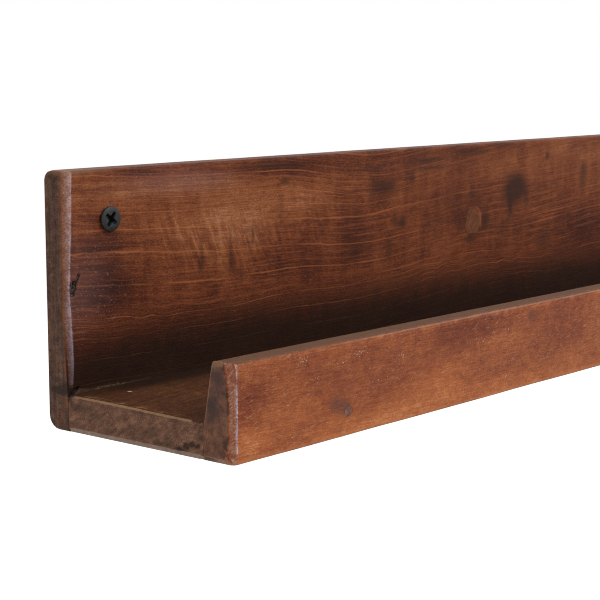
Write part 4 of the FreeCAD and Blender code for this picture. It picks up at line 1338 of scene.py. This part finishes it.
class Recipe:
    """A material under construction, with its patterns kept by name."""

    def __init__(self, name):
        """A new material, with no patterns yet."""
        self.material = bpy.data.materials.new(name)
        self.material.use_nodes = True
        self.tree = self.material.node_tree
        self.surface = self.tree.nodes["Principled BSDF"]
        self.patterns = {}

    def node(self, kind, inputs=(), output=0, **settings):
        """One shader node in this material's tree."""
        return add(self.tree, kind, inputs, output, **settings)

    def painted(self, name):
        """A number painted on the points."""
        return self.node("Attribute", output=2, attribute_name=name)

    def grain(self):
        """The painted place in the unbent wood, in millimetres."""
        return self.node("Attribute", output=1, attribute_name="grain")

    def place(self):
        """The object's own coordinates in millimetres."""
        metres = self.node("TexCoord", output=3)
        return self.stretched(metres, (1 / MM,) * 3)

    def stretched(self, vector, scale):
        """Each coordinate times its scale: a small scale draws a pattern out that way."""
        return self.node("Mapping", {"Vector": vector, "Scale": scale})

    def rotated(self, vector, rotation):
        """A vector turned about the three axes, by degrees."""
        turn = [math.radians(angle) for angle in rotation]
        return self.node("Mapping", {"Vector": vector, "Rotation": turn})

    def noise(self, vector, detail=2.0, roughness=0.5):
        """Soft noise about 0.5, one swell to a unit of the vector."""
        return self.node("TexNoise", {"Vector": vector, "Scale": 1.0, "Detail": detail,
                                      "Roughness": roughness})

    def reckon(self, operation, first, second=0.0, third=0.0):
        """One step of arithmetic."""
        return self.node("Math", {0: first, 1: second, 2: third}, operation=operation)

    def times(self, first, second):
        """first * second"""
        return self.reckon("MULTIPLY", first, second)

    def scaled(self, value, factor, plus):
        """value * factor + plus"""
        return self.reckon("MULTIPLY_ADD", value, factor, plus)

    def step(self, value, low, high, to_low=0.0, to_high=1.0):
        """A smooth slope from one value to another."""
        return self.node("MapRange", {"Value": value, "From Min": low, "From Max": high,
                                      "To Min": to_low, "To Max": to_high},
                         interpolation_type="SMOOTHSTEP")

    def weigh(self, start, **weights):
        """start plus weight * (pattern - 0.5) for each of this recipe's patterns that is named."""
        total = start
        for name, weight in weights.items():
            share = self.scaled(self.patterns[name], weight, -weight / 2)
            total = self.reckon("ADD", share, total)
        return total

    def distance_from(self, place):
        """How far each point lies from one place, given in bench millimetres."""
        centre = np.array(place) + BENCH_ZERO / MM
        return self.node("VectorMath", {0: self.place(), 1: centre}, 1, operation="DISTANCE")

    def end_spots(self, spots):
        """Smudges on the end grain, the darkest one at each place: (y, up, half width, half
        height, amount) in bench millimetres, alike at both ends. Noise frays their outlines."""
        frayed = self.node("TexNoise", {"Vector": self.place(), "Scale": FRAY_SCALE, "Detail": 3.0}, 1)
        frayed = self.node("VectorMath", {0: frayed, 1: (0.5,) * 3}, operation="SUBTRACT")
        frayed = self.node("VectorMath", {0: frayed, 1: (FRAY_REACH,) * 3, 2: self.place()},
                           operation="MULTIPLY_ADD")
        darkest = 0.0
        for y, up, wide, tall, amount in spots:
            centre = Vector((0.0, y, up)) + Vector(BENCH_ZERO / MM)
            scale = Vector((0.0, 1 / wide, 1 / tall))
            near = self.node("Mapping", {"Vector": frayed, "Scale": scale,
                                         "Location": -centre * scale})
            apart = self.node("VectorMath", {0: near}, 1, operation="LENGTH")
            spot = self.step(apart, *SPOT_FADE, 0.0, amount)
            darkest = spot if darkest == 0.0 else self.reckon("MAXIMUM", darkest, spot)
        return darkest

    def mix(self, factor, first, second):
        """From the first colour to the second as the factor goes from 0 to 1."""
        return self.node("Mix", {0: factor, 6: first, 7: second}, 2, data_type="RGBA")

    def rub_in(self, colour, name, amount, tone):
        """Mix a tone into a colour by a painted number times an amount."""
        return self.mix(self.times(self.painted(name), amount), colour, tone)

    def ramp(self, value, stops):
        """A colour for every value from 0 to 1, through the given stops."""
        output = self.node("ValToRGB", {0: value})
        band = output.node.color_ramp
        while len(band.elements) < len(stops):
            band.elements.new(1.0)
        for element, (place, colour) in zip(band.elements, stops):
            element.position = place
            element.color = colour
        return output

    def finish(self, colour, roughness, height, depth, shine):
        """Connect colour, roughness and bump. The shine is set on the shader's own socket."""
        bump = self.node("Bump", {"Height": height, "Distance": depth * MM, "Strength": 1.0})
        self.tree.links.new(colour, self.surface.inputs["Base Color"])
        self.tree.links.new(roughness, self.surface.inputs["Roughness"])
        self.tree.links.new(bump, self.surface.inputs["Normal"])
        self.surface.inputs["Specular IOR Level"].default_value = shine
        return self.material


def dress(thing, material):
    """Make a material the only one on a thing."""
    thing.data.materials.clear()
    thing.data.materials.append(material)
    print(thing.name, "wears", material.name, "with", len(material.node_tree.nodes), "nodes")


print("the recipe book has", len([name for name in dir(Recipe) if not name.startswith("_")]),
      "kinds of step")

# %% [markdown]
# Wood has the same patterns in every board: long fibres, finer hairs between them, slow clouds of
# colour and fine grit. All are noise, stretched along the grain by different amounts. Only their
# weights and colours differ from board to board. Fibres, hairs and clouds follow the unbent grain,
# while grit and mottling lie on the surface and read plain coordinates.

# %% Patterns that the three boards share
WOOD_NOISE = {
    "fibre": ((0.05, 0.9, 1.3), 4.0, 0.62),
    "hair": ((0.3, 3.0, 4.6), 3.0, 0.6),
    "cloud": ((0.022, 0.06, 0.055), 4.0, 0.6),
}
SURFACE_NOISE = {
    "grit": ((1.3, 2.4, 2.4), 3.0, 0.75),
    "mottle": ((0.3, 0.3, 0.4), 4.0, 0.65),
}
SPECK_SIZE = 0.45
SPECK_SCALE = (0.55 / SPECK_SIZE, 1.0 / SPECK_SIZE, 1.0 / SPECK_SIZE)


def new_wood(name):
    """A recipe with the five patterns, each noise of (scale, detail, roughness)."""
    wood = Recipe(name)
    grain = wood.grain()
    for pattern, (scale, detail, roughness) in WOOD_NOISE.items():
        wood.patterns[pattern] = wood.noise(wood.stretched(grain, scale), detail, roughness)
    for pattern, (scale, detail, roughness) in SURFACE_NOISE.items():
        wood.patterns[pattern] = wood.noise(wood.stretched(wood.place(), scale), detail, roughness)
    return wood


def small_specks(wood, low, high):
    """Separate specks, half a millimetre wide, wherever noise peaks."""
    speck = wood.noise(wood.stretched(wood.place(), SPECK_SCALE), 1.0)
    return wood.step(speck, low, high)


def worn_off(wood, dark, middle, light):
    """Bare dusty wood where an arris has lost its finish."""
    return wood.ramp(wood.weigh(0.5, grit=1.0, mottle=0.8), [(0.1, dark), (0.5, middle), (0.9, light)])


def uneven_sheen(wood, low, high, **weights):
    """Roughness from low to high, as the named patterns rise."""
    return wood.step(wood.weigh(0.5, **weights), 0.0, 1.0, low, high)


print("patterns in each wood:", len(WOOD_NOISE) + len(SURFACE_NOISE))

# %% [markdown]
# Growth lines are thin bright lines where the painted ring number is whole. Real ones waver and
# break off, so a slow and a quick noise shift the ring number, and a third noise, read along each
# line, takes stretches of it away.

# %% Growth lines
WAVER = ((0.05, 0.4, 0.12), 0.16)
SHIVER = ((0.16, 0.5, 0.3), 0.08)
LINE_SEED = 7.3
BREAK_BLEND = 0.2


def growth_lines(wood, count, width, breaks, gone=0.42):
    """Thin lines where count times the ring number is whole, 1 on a line and 0 between.

    Along its length a line is broken by noise: the higher gone, the more of it is missing.
    """
    grain = wood.grain()
    ring = wood.painted("rings")
    for scale, shift in (WAVER, SHIVER):
        ring = wood.scaled(wood.noise(wood.stretched(grain, scale), 2.0), shift, ring)
    ring = wood.times(ring, count)
    off_line = wood.reckon("PINGPONG", ring, 0.5)
    which = wood.reckon("ROUND", ring)
    split = wood.node("SeparateXYZ", {0: grain})
    broken = wood.noise(wood.node("CombineXYZ", {0: wood.times(split, breaks),
                                                 1: wood.times(which, LINE_SEED)}), 2.0)
    return wood.times(wood.step(off_line, width, 0.0),
                      wood.step(broken, gone, gone + BREAK_BLEND))


print("a line wavers by %.2f of a ring at most" % ((WAVER[1] + SHIVER[1]) / 2))

# %% [markdown]
# The back board's ground is red-brown, from purple brown in the dark to tan in the light. Over it
# come the orange growth lines, in three sizes, dark gaps between them, a dusty haze in the old
# finish and small pale specks. Upright ticks show where a blunt plane chattered. A picture of wood
# could be laid over the board, but it would bring its own light and end at the edges. Noise that
# reads the unbent grain runs on round every edge.

# %% Ground of the back wood
TICK_SLANT = 0.42


def back_patterns(wood):
    """Two patterns of its own: slow curls, and ticks that lean along the board as they rise."""
    where = wood.node("SeparateXYZ", {0: wood.place()})
    height = where.node.outputs[2]
    leaning = wood.times(wood.scaled(height, TICK_SLANT, where), 0.42)
    ticks = wood.noise(wood.node("CombineXYZ", {0: leaning, 2: wood.times(height, 0.05)}), 4.0, 0.62)
    wood.patterns["curl"] = wood.noise(wood.stretched(wood.place(), (0.17, 0.05, 0.028)), 3.0, 0.55)
    wood.patterns["chatter"] = wood.times(wood.painted("chatter"), wood.reckon("SUBTRACT", ticks, 0.5))


def back_ground(wood):
    """A ramp of browns over the painted tone plus all patterns. Grit is weaker where it is calm."""
    value = wood.weigh(wood.reckon("ADD", wood.painted("tone"), 0.46),
                       fibre=0.5, hair=0.45, cloud=0.7, curl=0.4, mottle=0.35)
    grit = wood.reckon("SUBTRACT", wood.patterns["grit"], 0.5)
    value = wood.scaled(grit, wood.scaled(wood.painted("calm"), -0.5, 0.85), value)
    value = wood.scaled(wood.patterns["chatter"], 1.4, value)
    return wood.ramp(value, [
        (0.0, shade(44, 17, 10)), (0.3, shade(77, 35, 20)), (0.52, shade(108, 55, 30)),
        (0.74, shade(134, 78, 46)), (1.0, shade(168, 112, 78))])


def back_lines(wood, colour):
    """Growth lines mixed over the ground, brighter where it glows, fainter in the painted shade and
    grime of the corner and where it is calm.
    """
    lit = wood.scaled(wood.painted("glow"), 0.45, 0.18)
    lit = wood.times(lit, wood.scaled(wood.painted("calm"), -0.12, 1.0))
    lit = wood.times(lit, wood.scaled(wood.painted("grime"), -0.25, 1.0))
    gaps = growth_lines(wood, 4.0, 0.2, 0.07)
    faint = growth_lines(wood, 7.0, 0.25, 0.06)
    middling = growth_lines(wood, 3.0, 0.16, 0.05)
    bold = growth_lines(wood, 1.0, 0.05, 0.03, gone=0.37)
    bold = wood.times(bold, wood.scaled(wood.painted("calm"), -0.55, 1.0))
    wood.patterns["bold"] = bold
    for lines, strength, tone in ((gaps, 0.3, shade(66, 28, 18)), (faint, lit, shade(160, 90, 54)),
                                  (middling, lit, shade(170, 98, 60)), (bold, 0.4, shade(178, 106, 62))):
        colour = wood.mix(wood.times(lines, strength), colour, tone)
    return colour


def back_dust(wood, colour):
    """The haze in the old finish, cloudy and at most a third, and specks that gather in it."""
    haze = wood.times(wood.weigh(wood.painted("haze"), cloud=0.5), wood.painted("haze"))
    colour = wood.mix(wood.step(haze, 0.0, 1.0, 0.0, 0.32), colour, shade(120, 90, 88))
    specks = wood.times(small_specks(wood, 0.62, 0.74), wood.scaled(wood.painted("haze"), 0.2, 0.12))
    return wood.mix(specks, colour, shade(172, 134, 112))


back_wood = new_wood("back_wood")
back_patterns(back_wood)
back_colour = back_dust(back_wood, back_lines(back_wood, back_ground(back_wood)))
print("nodes in the back wood's ground:", len(back_wood.tree.nodes))

# %% [markdown]
# End grain takes up dirt, so the end of the board is olive brown, with rusty places and a dark
# band a little above the shelf, the crack's painted shadow. A second material on the end faces
# would give it a hard border, while a painted mask lets it fade within half a millimetre. Stains
# come next, frayed by the patterns so that they look soaked in, and then the painted light and
# painted shade on the two halves of the rim round the filler.

# %% End grain and stains of the back wood


def back_end_grain(wood, colour):
    """Olive brown where the paint says end, with rust and then dark smudges and the crack's
    painted shadow mixed in.
    """
    wood.patterns["streaks"] = wood.noise(wood.stretched(wood.place(), (0.5, 0.7, 0.05)), 4.0, 0.65)
    olive = wood.ramp(wood.weigh(0.5, mottle=1.3, grit=1.6, streaks=0.9), [
        (0.15, shade(56, 37, 30)), (0.5, shade(88, 63, 52)), (0.85, shade(126, 92, 72))])
    rust = wood.weigh(wood.end_spots(BACK_END_RUST), mottle=1.6, grit=0.8)
    olive = wood.mix(wood.step(rust, 0.1, 1.2, 0.0, 0.62), olive, shade(136, 74, 44))
    end = wood.painted("end")
    colour = wood.mix(end, colour, olive)
    # Dark smudges, and the crack's painted shadow in a band just above the shelf.
    blotch = wood.weigh(wood.end_spots(BACK_END_SMUDGES_AND_CRACK_SHADOW), mottle=0.8)
    return wood.mix(wood.times(wood.step(blotch, 0.1, 0.8), wood.times(end, 0.85)), colour,
                    shade(42, 31, 27))


def back_stains(wood, colour):
    """Stains: the painted number plus patterns, cut off where nothing is painted."""
    stain = wood.painted("stain")
    ragged = wood.step(wood.weigh(stain, fibre=0.3, mottle=0.45, curl=0.4), 0.0, 1.1)
    ragged = wood.times(ragged, wood.step(stain, 0.0, 0.45))
    colour = wood.mix(wood.times(ragged, 0.86), colour, shade(40, 24, 19))
    # Painted shade and painted light on the two halves of the rim round the filler.
    colour = wood.rub_in(colour, "rim_dark", 0.6, shade(46, 28, 22))
    return wood.rub_in(colour, "rim_light", 0.6, shade(160, 92, 56))


back_colour = back_stains(back_wood, back_end_grain(back_wood, back_colour))
print("nodes with end grain and stains:", len(back_wood.tree.nodes))

# %% [markdown]
# The pared bevel catches the light. Its bare wood is dusty pink in the upper half, and lower down
# it turns slate grey with painted shade. It is paler towards its inner edge. A thin painted
# highlight marks the crease between bevel and face, and a rusty line the arris towards the end
# grain.

# %% Pared edge of the back wood


def back_pared_edge(wood, colour):
    """Bevel with painted shade lower down, crease highlight, strip and rubbed top arris, each by its
    own painted number.
    """
    rusty = worn_off(wood, shade(92, 50, 30), shade(126, 78, 52), shade(156, 104, 74))
    colour = wood.rub_in(colour, "strip", 0.9, rusty)
    across = wood.scaled(wood.painted("across"), 0.36, 0.3)
    dusty = wood.ramp(wood.weigh(across, grit=1.1, mottle=0.8), [
        (0.15, shade(104, 64, 48)), (0.5, shade(146, 108, 94)), (0.85, shade(194, 166, 162))])
    # Painted shade: lower down the bevel turns darker slate grey, mixed in by shaded.
    slate = wood.ramp(wood.weigh(across, grit=0.9, mottle=0.9), [
        (0.15, shade(90, 48, 34)), (0.45, shade(112, 90, 92)), (0.8, shade(152, 142, 160))])
    colour = wood.rub_in(colour, "pared", 0.9, wood.rub_in(dusty, "shaded", 0.85, slate))
    # Painted highlight: a broken pale lilac line along the crease.
    ragged = wood.step(wood.weigh(0.56, grit=0.9, mottle=1.2), 0.25, 0.75)
    crease = wood.times(wood.painted("crease"), ragged)
    colour = wood.mix(wood.times(crease, 0.66), colour, shade(182, 172, 192))
    return wood.rub_in(colour, "rubbed", 0.5, shade(132, 98, 74))


back_colour = back_pared_edge(back_wood, back_colour)
print("nodes with the pared edge:", len(back_wood.tree.nodes))

# %% [markdown]
# Painted shade with grime, old gum and torn wood lie over everything else. Towards the shelf the
# face is darkened nearly to black by painted shade and grime, patchy at its upper limit. Gum has
# run along the joint and flaked at its edge. In the gouge the torn fibres stand up pale over a
# dark ground, and the crack at the joint is black.

# %% Shade and grime, gum and gouge of the back wood


def back_grime(wood, colour):
    """Near black by the painted corner shade and grime, with a limit that the patterns make
    patchy.
    """
    grime = wood.weigh(wood.painted("grime"), mottle=0.35, fibre=0.4, cloud=0.5, curl=0.5)
    grime = wood.times(grime, wood.step(grime, 0.0, 0.3))
    return wood.mix(wood.step(grime, 0.08, 0.95, 0, 0.93), colour, shade(26, 14, 8))


def back_gum(wood, colour):
    """A brown smear below the gum's upper edge, and pale flakes along that edge."""
    gum = wood.ramp(wood.weigh(0.5, grit=0.8, hair=0.6), [
        (0.1, shade(34, 24, 16)), (0.5, shade(62, 45, 33)), (0.9, shade(96, 72, 50))])
    colour = wood.mix(wood.painted("gum"), colour, gum)
    flakes = wood.step(wood.noise(wood.stretched(wood.place(), (0.7, 1.0, 2.0)), 2.0), 0.48, 0.58)
    return wood.mix(wood.times(wood.painted("gum_edge"), flakes), colour, shade(124, 98, 70))


def back_gouge(wood, colour):
    """Dark in the torn places, pale slanting splinters where they are deep, black in the crack."""
    torn = wood.painted("torn")
    colour = wood.mix(wood.step(torn, 0.1, 0.35), colour, shade(30, 22, 20))
    slanting = wood.stretched(wood.rotated(wood.place(), (0, 30, 0)), (3.0, 1.0, 0.6))
    splinters = wood.step(wood.noise(slanting, 2.0, 0.6), 0.42, 0.62)
    splinters = wood.times(splinters, wood.step(torn, 0.4, 0.7))
    colour = wood.mix(wood.times(splinters, 0.85), colour, shade(112, 100, 90))
    return wood.mix(wood.step(wood.painted("black"), 0.15, 0.4), colour, shade(14, 10, 8))


def finish_back(wood, colour):
    """Relief from hairs, grit and fibres, sunk on bold lines and raised by chatter."""
    relief = wood.weigh(0.5, hair=0.5, grit=0.35, fibre=0.4)
    relief = wood.scaled(wood.patterns["bold"], -0.25, relief)
    relief = wood.scaled(wood.patterns["chatter"], 0.5, relief)
    return wood.finish(colour, uneven_sheen(wood, 0.42, 0.62, cloud=0.6, hair=0.4), relief, 0.16, 0.08)


back_colour = back_gouge(back_wood, back_gum(back_wood, back_grime(back_wood, back_colour)))
dress(back, finish_back(back_wood, back_colour))

# %% [markdown]
# The shelf board is darker and rougher. Its end grain has slanting figure, its upper end arris is
# a light worn line, and just behind that line the surface is frayed into short pale dashes. One
# small chip shows fresh pale wood.

# %% Shelf wood


def shelf_surface(wood):
    """Dark browns over the patterns, ragged warm glows, and pale dashes beside the end."""
    colour = wood.ramp(wood.weigh(0.5, fibre=0.6, hair=0.7, cloud=0.7, grit=1.5, mottle=0.5), [
        (0.0, shade(36, 21, 14)), (0.35, shade(66, 39, 25)), (0.6, shade(88, 54, 34)),
        (1.0, shade(128, 84, 54))])
    ragged = wood.step(wood.weigh(wood.painted("glow"), fibre=1.2, grit=0.6), 0.3, 0.9)
    colour = wood.mix(wood.times(ragged, 0.55), colour, shade(118, 74, 44))
    strokes = wood.noise(wood.stretched(wood.place(), (1.6, 0.22, 1.0)), 3.0, 0.6)
    strokes = wood.times(wood.step(strokes, 0.5, 0.64), wood.painted("dashes"))
    return wood.mix(wood.times(strokes, 0.75), colour, shade(150, 112, 76))


def shelf_end_grain(wood, colour):
    """Brown slanting figure on the end, the light worn arris above it, and the planed one below,
    bare wood painted lighter as painted light for its downward face.
    """
    slanting = wood.stretched(wood.rotated(wood.place(), (35, 0, 0)), (0.3, 0.16, 0.5))
    wood.patterns["diagonal"] = wood.noise(slanting, 4.0, 0.6)
    figure = wood.ramp(wood.weigh(0.5, diagonal=1.15, mottle=0.95, grit=1.4), [
        (0.1, shade(62, 42, 34)), (0.5, shade(110, 78, 62)), (0.9, shade(156, 114, 90))])
    colour = wood.mix(wood.painted("end"), colour, figure)
    rubbed = wood.weigh(wood.painted("rubbed"), mottle=1.3, grit=0.5)
    colour = wood.mix(wood.step(rubbed, 0.35, 1.05, 0.0, 0.75), colour, shade(168, 132, 102))
    # Bare planed wood, painted lighter: painted light against the shade of its downward face.
    bare = worn_off(wood, shade(104, 78, 66), shade(150, 124, 110), shade(186, 164, 150))
    return wood.rub_in(colour, "eased", 0.9, bare)


def shelf_dirt_and_shade(wood, colour):
    """Smudges on the end, painted shade and grime in the corner by the back board, and the pale chip
    on top.
    """
    stain = wood.weigh(wood.end_spots(SHELF_END_STAINS), mottle=1.2, grit=0.5)
    stain = wood.times(wood.step(stain, 0.2, 1.0), wood.painted("end"))
    colour = wood.mix(wood.times(stain, 0.85), colour, shade(42, 30, 25))
    grime = wood.times(wood.weigh(wood.painted("grime"), mottle=0.5, fibre=0.3), wood.painted("grime"))
    colour = wood.mix(wood.step(grime, 0.0, 0.9, 0, 0.85), colour, shade(26, 18, 13))
    chip = wood.weigh(wood.distance_from(SHELF_CHIP), mottle=1.2)
    return wood.mix(wood.step(chip, 0.85, 0.45), colour, shade(184, 164, 132))


def make_shelf_wood():
    """Surface, end grain, dirt, then relief from hairs, grit and fibres."""
    wood = new_wood("shelf_wood")
    colour = shelf_dirt_and_shade(wood, shelf_end_grain(wood, shelf_surface(wood)))
    relief = wood.weigh(0.5, hair=0.5, grit=0.45, fibre=0.4)
    return wood.finish(colour, uneven_sheen(wood, 0.48, 0.66, cloud=0.8), relief, 0.16, 0.08)


dress(shelf, make_shelf_wood())

# %% [markdown]
# The lip is orange-brown and mottled. Its face has been handled most: it is freckled with pale
# flecks, finely scratched along a slant, dotted with dark pores, and its long arrises carry a
# painted highlight where hands have polished them.

# %% Surface of the lip wood
SCRATCH_SLANT = 13


def lip_ground(wood):
    """A ramp of orange browns over the painted tone plus all patterns, and a ragged painted
    highlight along the long arrises.
    """
    colour = wood.ramp(wood.weigh(wood.reckon("ADD", wood.painted("tone"), 0.5),
                                  fibre=0.5, hair=0.7, cloud=0.6, grit=0.85, mottle=0.6), [
        (0.0, shade(82, 34, 24)), (0.3, shade(114, 55, 33)), (0.55, shade(140, 76, 44)),
        (0.78, shade(164, 93, 52)), (1.0, shade(189, 123, 80))])
    # Painted highlight: ragged bright orange along the long arrises of the face.
    arris_highlight = wood.step(wood.weigh(wood.painted("glow"), mottle=1.6), 0.3, 1.0)
    arris_highlight = wood.times(arris_highlight, wood.painted("glow"))
    return wood.mix(wood.times(arris_highlight, 0.5), colour, shade(184, 116, 72))


def lip_marks(wood, colour):
    """Flecks, scratches, specks and pores: each is noise past a limit, mixed in by its share."""
    fleck = wood.noise(wood.stretched(wood.place(), (1.1, 1.4, 1.7)), 2.0, 0.7)
    fleck = wood.step(wood.scaled(wood.painted("pale"), 0.15, fleck), 0.69, 0.77)
    slanted = wood.rotated(wood.place(), (0, SCRATCH_SLANT, 0))
    scratch = wood.noise(wood.stretched(slanted, (0.3, 1.5, 2.2)), 2.0, 0.55)
    scratch = wood.step(wood.scaled(wood.patterns["cloud"], 0.25, scratch), 0.73, 0.85)
    pores = wood.step(wood.noise(wood.stretched(wood.place(), (0.5, 2.4, 2.8)), 1.0), 0.7, 0.76)
    specks = small_specks(wood, 0.66, 0.76)
    for marks, share, tone in ((fleck, 0.64, shade(204, 176, 148)), (scratch, 0.34, shade(184, 142, 112)),
                               (specks, 0.3, shade(204, 164, 134)), (pores, 0.5, shade(72, 40, 30))):
        colour = wood.mix(wood.times(marks, share), colour, tone)
    stain = wood.times(wood.weigh(wood.painted("stain"), mottle=0.5), wood.painted("stain"))
    return wood.mix(wood.times(wood.step(stain, 0.02, 0.8), 0.6), colour, shade(84, 54, 46))


lip_wood = new_wood("lip_wood")
lip_colour = lip_marks(lip_wood, lip_ground(lip_wood))
print("nodes in the lip's surface:", len(lip_wood.tree.nodes))

# %% [markdown]
# The lip's end is brown with slate smudges, warmer near its foot and at its top corner. Its pared
# bevel is fresh orange wood with fine slanting knife cuts, edged by a dark border on one side and
# a painted highlight along the crease on the other. The top is dusty, with a painted highlight
# along its worn front arris. Each is a layer of its own, so that another pattern can fray its
# edge, and a later one covers an earlier.

# %% End and edges of the lip wood


def lip_end_grain(wood, colour):
    """Two mottled browns, cool and warm, joined by the painted warmth, then slate smudges."""
    blotch = wood.weigh(0.5, mottle=1.3, grit=1.0)
    cool = wood.ramp(blotch, [
        (0.15, shade(62, 43, 38)), (0.5, shade(103, 71, 60)), (0.85, shade(138, 97, 78))])
    warm = wood.ramp(blotch, [
        (0.15, shade(74, 42, 30)), (0.5, shade(118, 78, 58)), (0.85, shade(150, 108, 82))])
    brown = wood.rub_in(cool, "warm", 0.6, warm)
    slate = wood.weigh(wood.end_spots(LIP_END_STAINS), mottle=0.9, grit=0.4)
    brown = wood.mix(wood.step(slate, 0.0, 1.0, 0.0, 0.8), brown, shade(55, 44, 42))
    return wood.mix(wood.painted("end"), colour, brown)


def lip_pared_edge(wood, colour):
    """The bevel, with knife cuts: noise drawn out along the slant of y plus height."""
    where = wood.node("SeparateXYZ", {0: wood.place()})
    across, height = where.node.outputs[1], where.node.outputs[2]
    slant = wood.node("CombineXYZ", {
        0: wood.times(wood.reckon("ADD", across, height), 2.0),
        1: wood.times(wood.reckon("SUBTRACT", height, across), 0.3), 2: wood.times(where, 0.6)})
    cuts = wood.step(wood.noise(slant, 3.0, 0.65), 0.48, 0.72)
    pared = wood.ramp(wood.weigh(0.5, grit=1.3, mottle=0.7), [
        (0.2, shade(124, 58, 32)), (0.5, shade(156, 96, 68)), (0.8, shade(192, 138, 112))])
    pared = wood.mix(wood.times(cuts, 0.55), pared, shade(208, 180, 170))
    return wood.rub_in(colour, "pared", 0.95, pared)


def lip_arrises(wood, colour):
    """Border, planed foot, crease highlight, dusty top, crest highlight and rim, in the order that
    they overlap.
    """
    borders = wood.ramp(wood.weigh(0.5, mottle=2.4), [
        (0.25, shade(44, 28, 23)), (0.5, shade(104, 56, 34)), (0.8, shade(156, 86, 48))])
    colour = wood.rub_in(colour, "edge", 0.8, borders)
    bare = worn_off(wood, shade(104, 72, 56), shade(148, 112, 92), shade(184, 152, 132))
    colour = wood.rub_in(colour, "eased", 0.9, bare)
    # Painted highlight: a broken lilac-white line along the crease.
    ragged = wood.step(wood.weigh(0.58, grit=1.2, mottle=1.6), 0.25, 0.75)
    crease = wood.times(wood.painted("crease"), ragged)
    colour = wood.mix(wood.times(crease, 0.82), colour, shade(214, 202, 212))
    dusty = wood.ramp(wood.weigh(0.5, grit=0.8, hair=0.7), [
        (0.1, shade(60, 40, 28)), (0.5, shade(92, 65, 48)), (0.9, shade(134, 103, 82))])
    colour = wood.rub_in(colour, "top", 0.9, dusty)
    # Painted highlight on the worn front arris of the top.
    crest = wood.step(wood.weigh(wood.painted("crest"), mottle=1.0, grit=0.5), 0.3, 1.0)
    crest = wood.times(crest, wood.painted("crest"))
    colour = wood.mix(wood.times(crest, 0.5), colour, shade(174, 128, 104))
    rim = wood.step(wood.weigh(wood.painted("rim"), mottle=1.6), 0.2, 0.9)
    return wood.mix(wood.times(rim, 0.62), colour, shade(150, 114, 86))


lip_colour = lip_pared_edge(lip_wood, lip_end_grain(lip_wood, lip_colour))
# Painted shade and grime on the rear face above the shelf.
lip_colour = lip_wood.rub_in(lip_arrises(lip_wood, lip_colour), "grime", 0.75, shade(40, 26, 20))
lip_relief = lip_wood.weigh(0.5, hair=0.5, grit=0.5, fibre=0.35)
lip_sheen = uneven_sheen(lip_wood, 0.42, 0.62, cloud=0.6, hair=0.4)
dress(lip, lip_wood.finish(lip_colour, lip_sheen, lip_relief, 0.18, 0.1))

# %% [markdown]
# The fillers are dull paste, rubbed down with the wood. The wall screws are blackened steel with
# a faint sheen, the hidden screws are zinc plated and the pins are bright steel. The packed
# meshes of the small pieces stay as they are and only get their finish.

# %% Fillers and metals


def make_filler(name, dark, middle, light):
    """Dull paste: a ramp over clouds and grit, with the grit as its relief."""
    paste = Recipe(name)
    place = paste.place()
    paste.patterns["cloud"] = paste.noise(paste.stretched(place, (0.5,) * 3), 4.0, 0.65)
    paste.patterns["grit"] = paste.noise(paste.stretched(place, (2.6,) * 3), 2.0, 0.7)
    colour = paste.ramp(paste.weigh(0.5, cloud=1.3, grit=1.0), [
        (0.1, dark), (0.5, middle), (0.9, light)])
    roughness = paste.step(paste.patterns["grit"], 0.3, 0.7, 0.55, 0.7)
    return paste.finish(colour, roughness, paste.weigh(0.5, grit=0.6), 0.1, 0.1)


def make_metal(name, dark, light, metallic, roughness, shine):
    """Two tones over clouds and a fine grain, specks of dust, and uneven roughness."""
    metal = Recipe(name)
    place = metal.place()
    metal.patterns["cloud"] = metal.noise(metal.stretched(place, (0.8,) * 3), 4.0, 0.6)
    metal.patterns["grain"] = metal.noise(metal.stretched(place, (6.0,) * 3), 2.0, 0.6)
    colour = metal.ramp(metal.weigh(0.5, cloud=0.8, grain=0.5), [(0.2, dark), (0.8, light)])
    dust = metal.noise(metal.stretched(place, (2.4,) * 3), 2.0, 0.7)
    colour = metal.mix(metal.step(dust, 0.66, 0.76, 0.0, 0.5), colour, shade(120, 118, 116))
    spread = metal.step(metal.patterns["grain"], 0.3, 0.7, roughness - 0.06, roughness + 0.08)
    metal.surface.inputs["Metallic"].default_value = metallic
    return metal.finish(colour, spread, metal.weigh(0.5, grain=0.5), 0.02, shine)


filler_paste = make_filler("wood_filler", shade(76, 48, 40), shade(106, 74, 62), shade(142, 108, 94))
knot_paste = make_filler("knot_paste", shade(72, 40, 27), shade(100, 58, 38), shade(126, 76, 48))
black_steel = make_metal("black_screw", shade(20, 20, 22), shade(36, 37, 40), 0.0, 0.5, 0.3)
zinc = make_metal("plain_screw", shade(150, 146, 134), shade(196, 192, 180), 1.0, 0.35, 0.5)
bright_steel = make_metal("pin_steel", shade(140, 138, 136), shade(184, 182, 180), 1.0, 0.3, 0.5)
for names, material in ((["knot_filler"], knot_paste), (DOTS, filler_paste), (SHELF_SCREWS, zinc),
                        (PINS, bright_steel)):
    for name in names:
        dress(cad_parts[name], material)
for screw in black_screws:
    dress(screw, black_steel)

# %% [markdown]
# The imported solids that these five pieces stand for stay in the scene, hidden, and the pieces
# are seen in their place. Nothing on the ledge moves, so every piece rides on the one body, the
# root.

# %% Hand the pieces over
PIECES = [(back, "back_board", "back_wood"), (shelf, "shelf_board", "shelf_wood"),
          (lip, "front_lip", "lip_wood")]
PIECES += [(screw, name, "black_screw") for screw, name in zip(black_screws, WALL_SCREWS)]
for piece, node, slot in PIECES:
    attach(piece, "root")
    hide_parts(node)
    print(piece.name, "stands for", node)

# %% [markdown]
# The looks must not change the size. The box of the imported model is kept from the start.
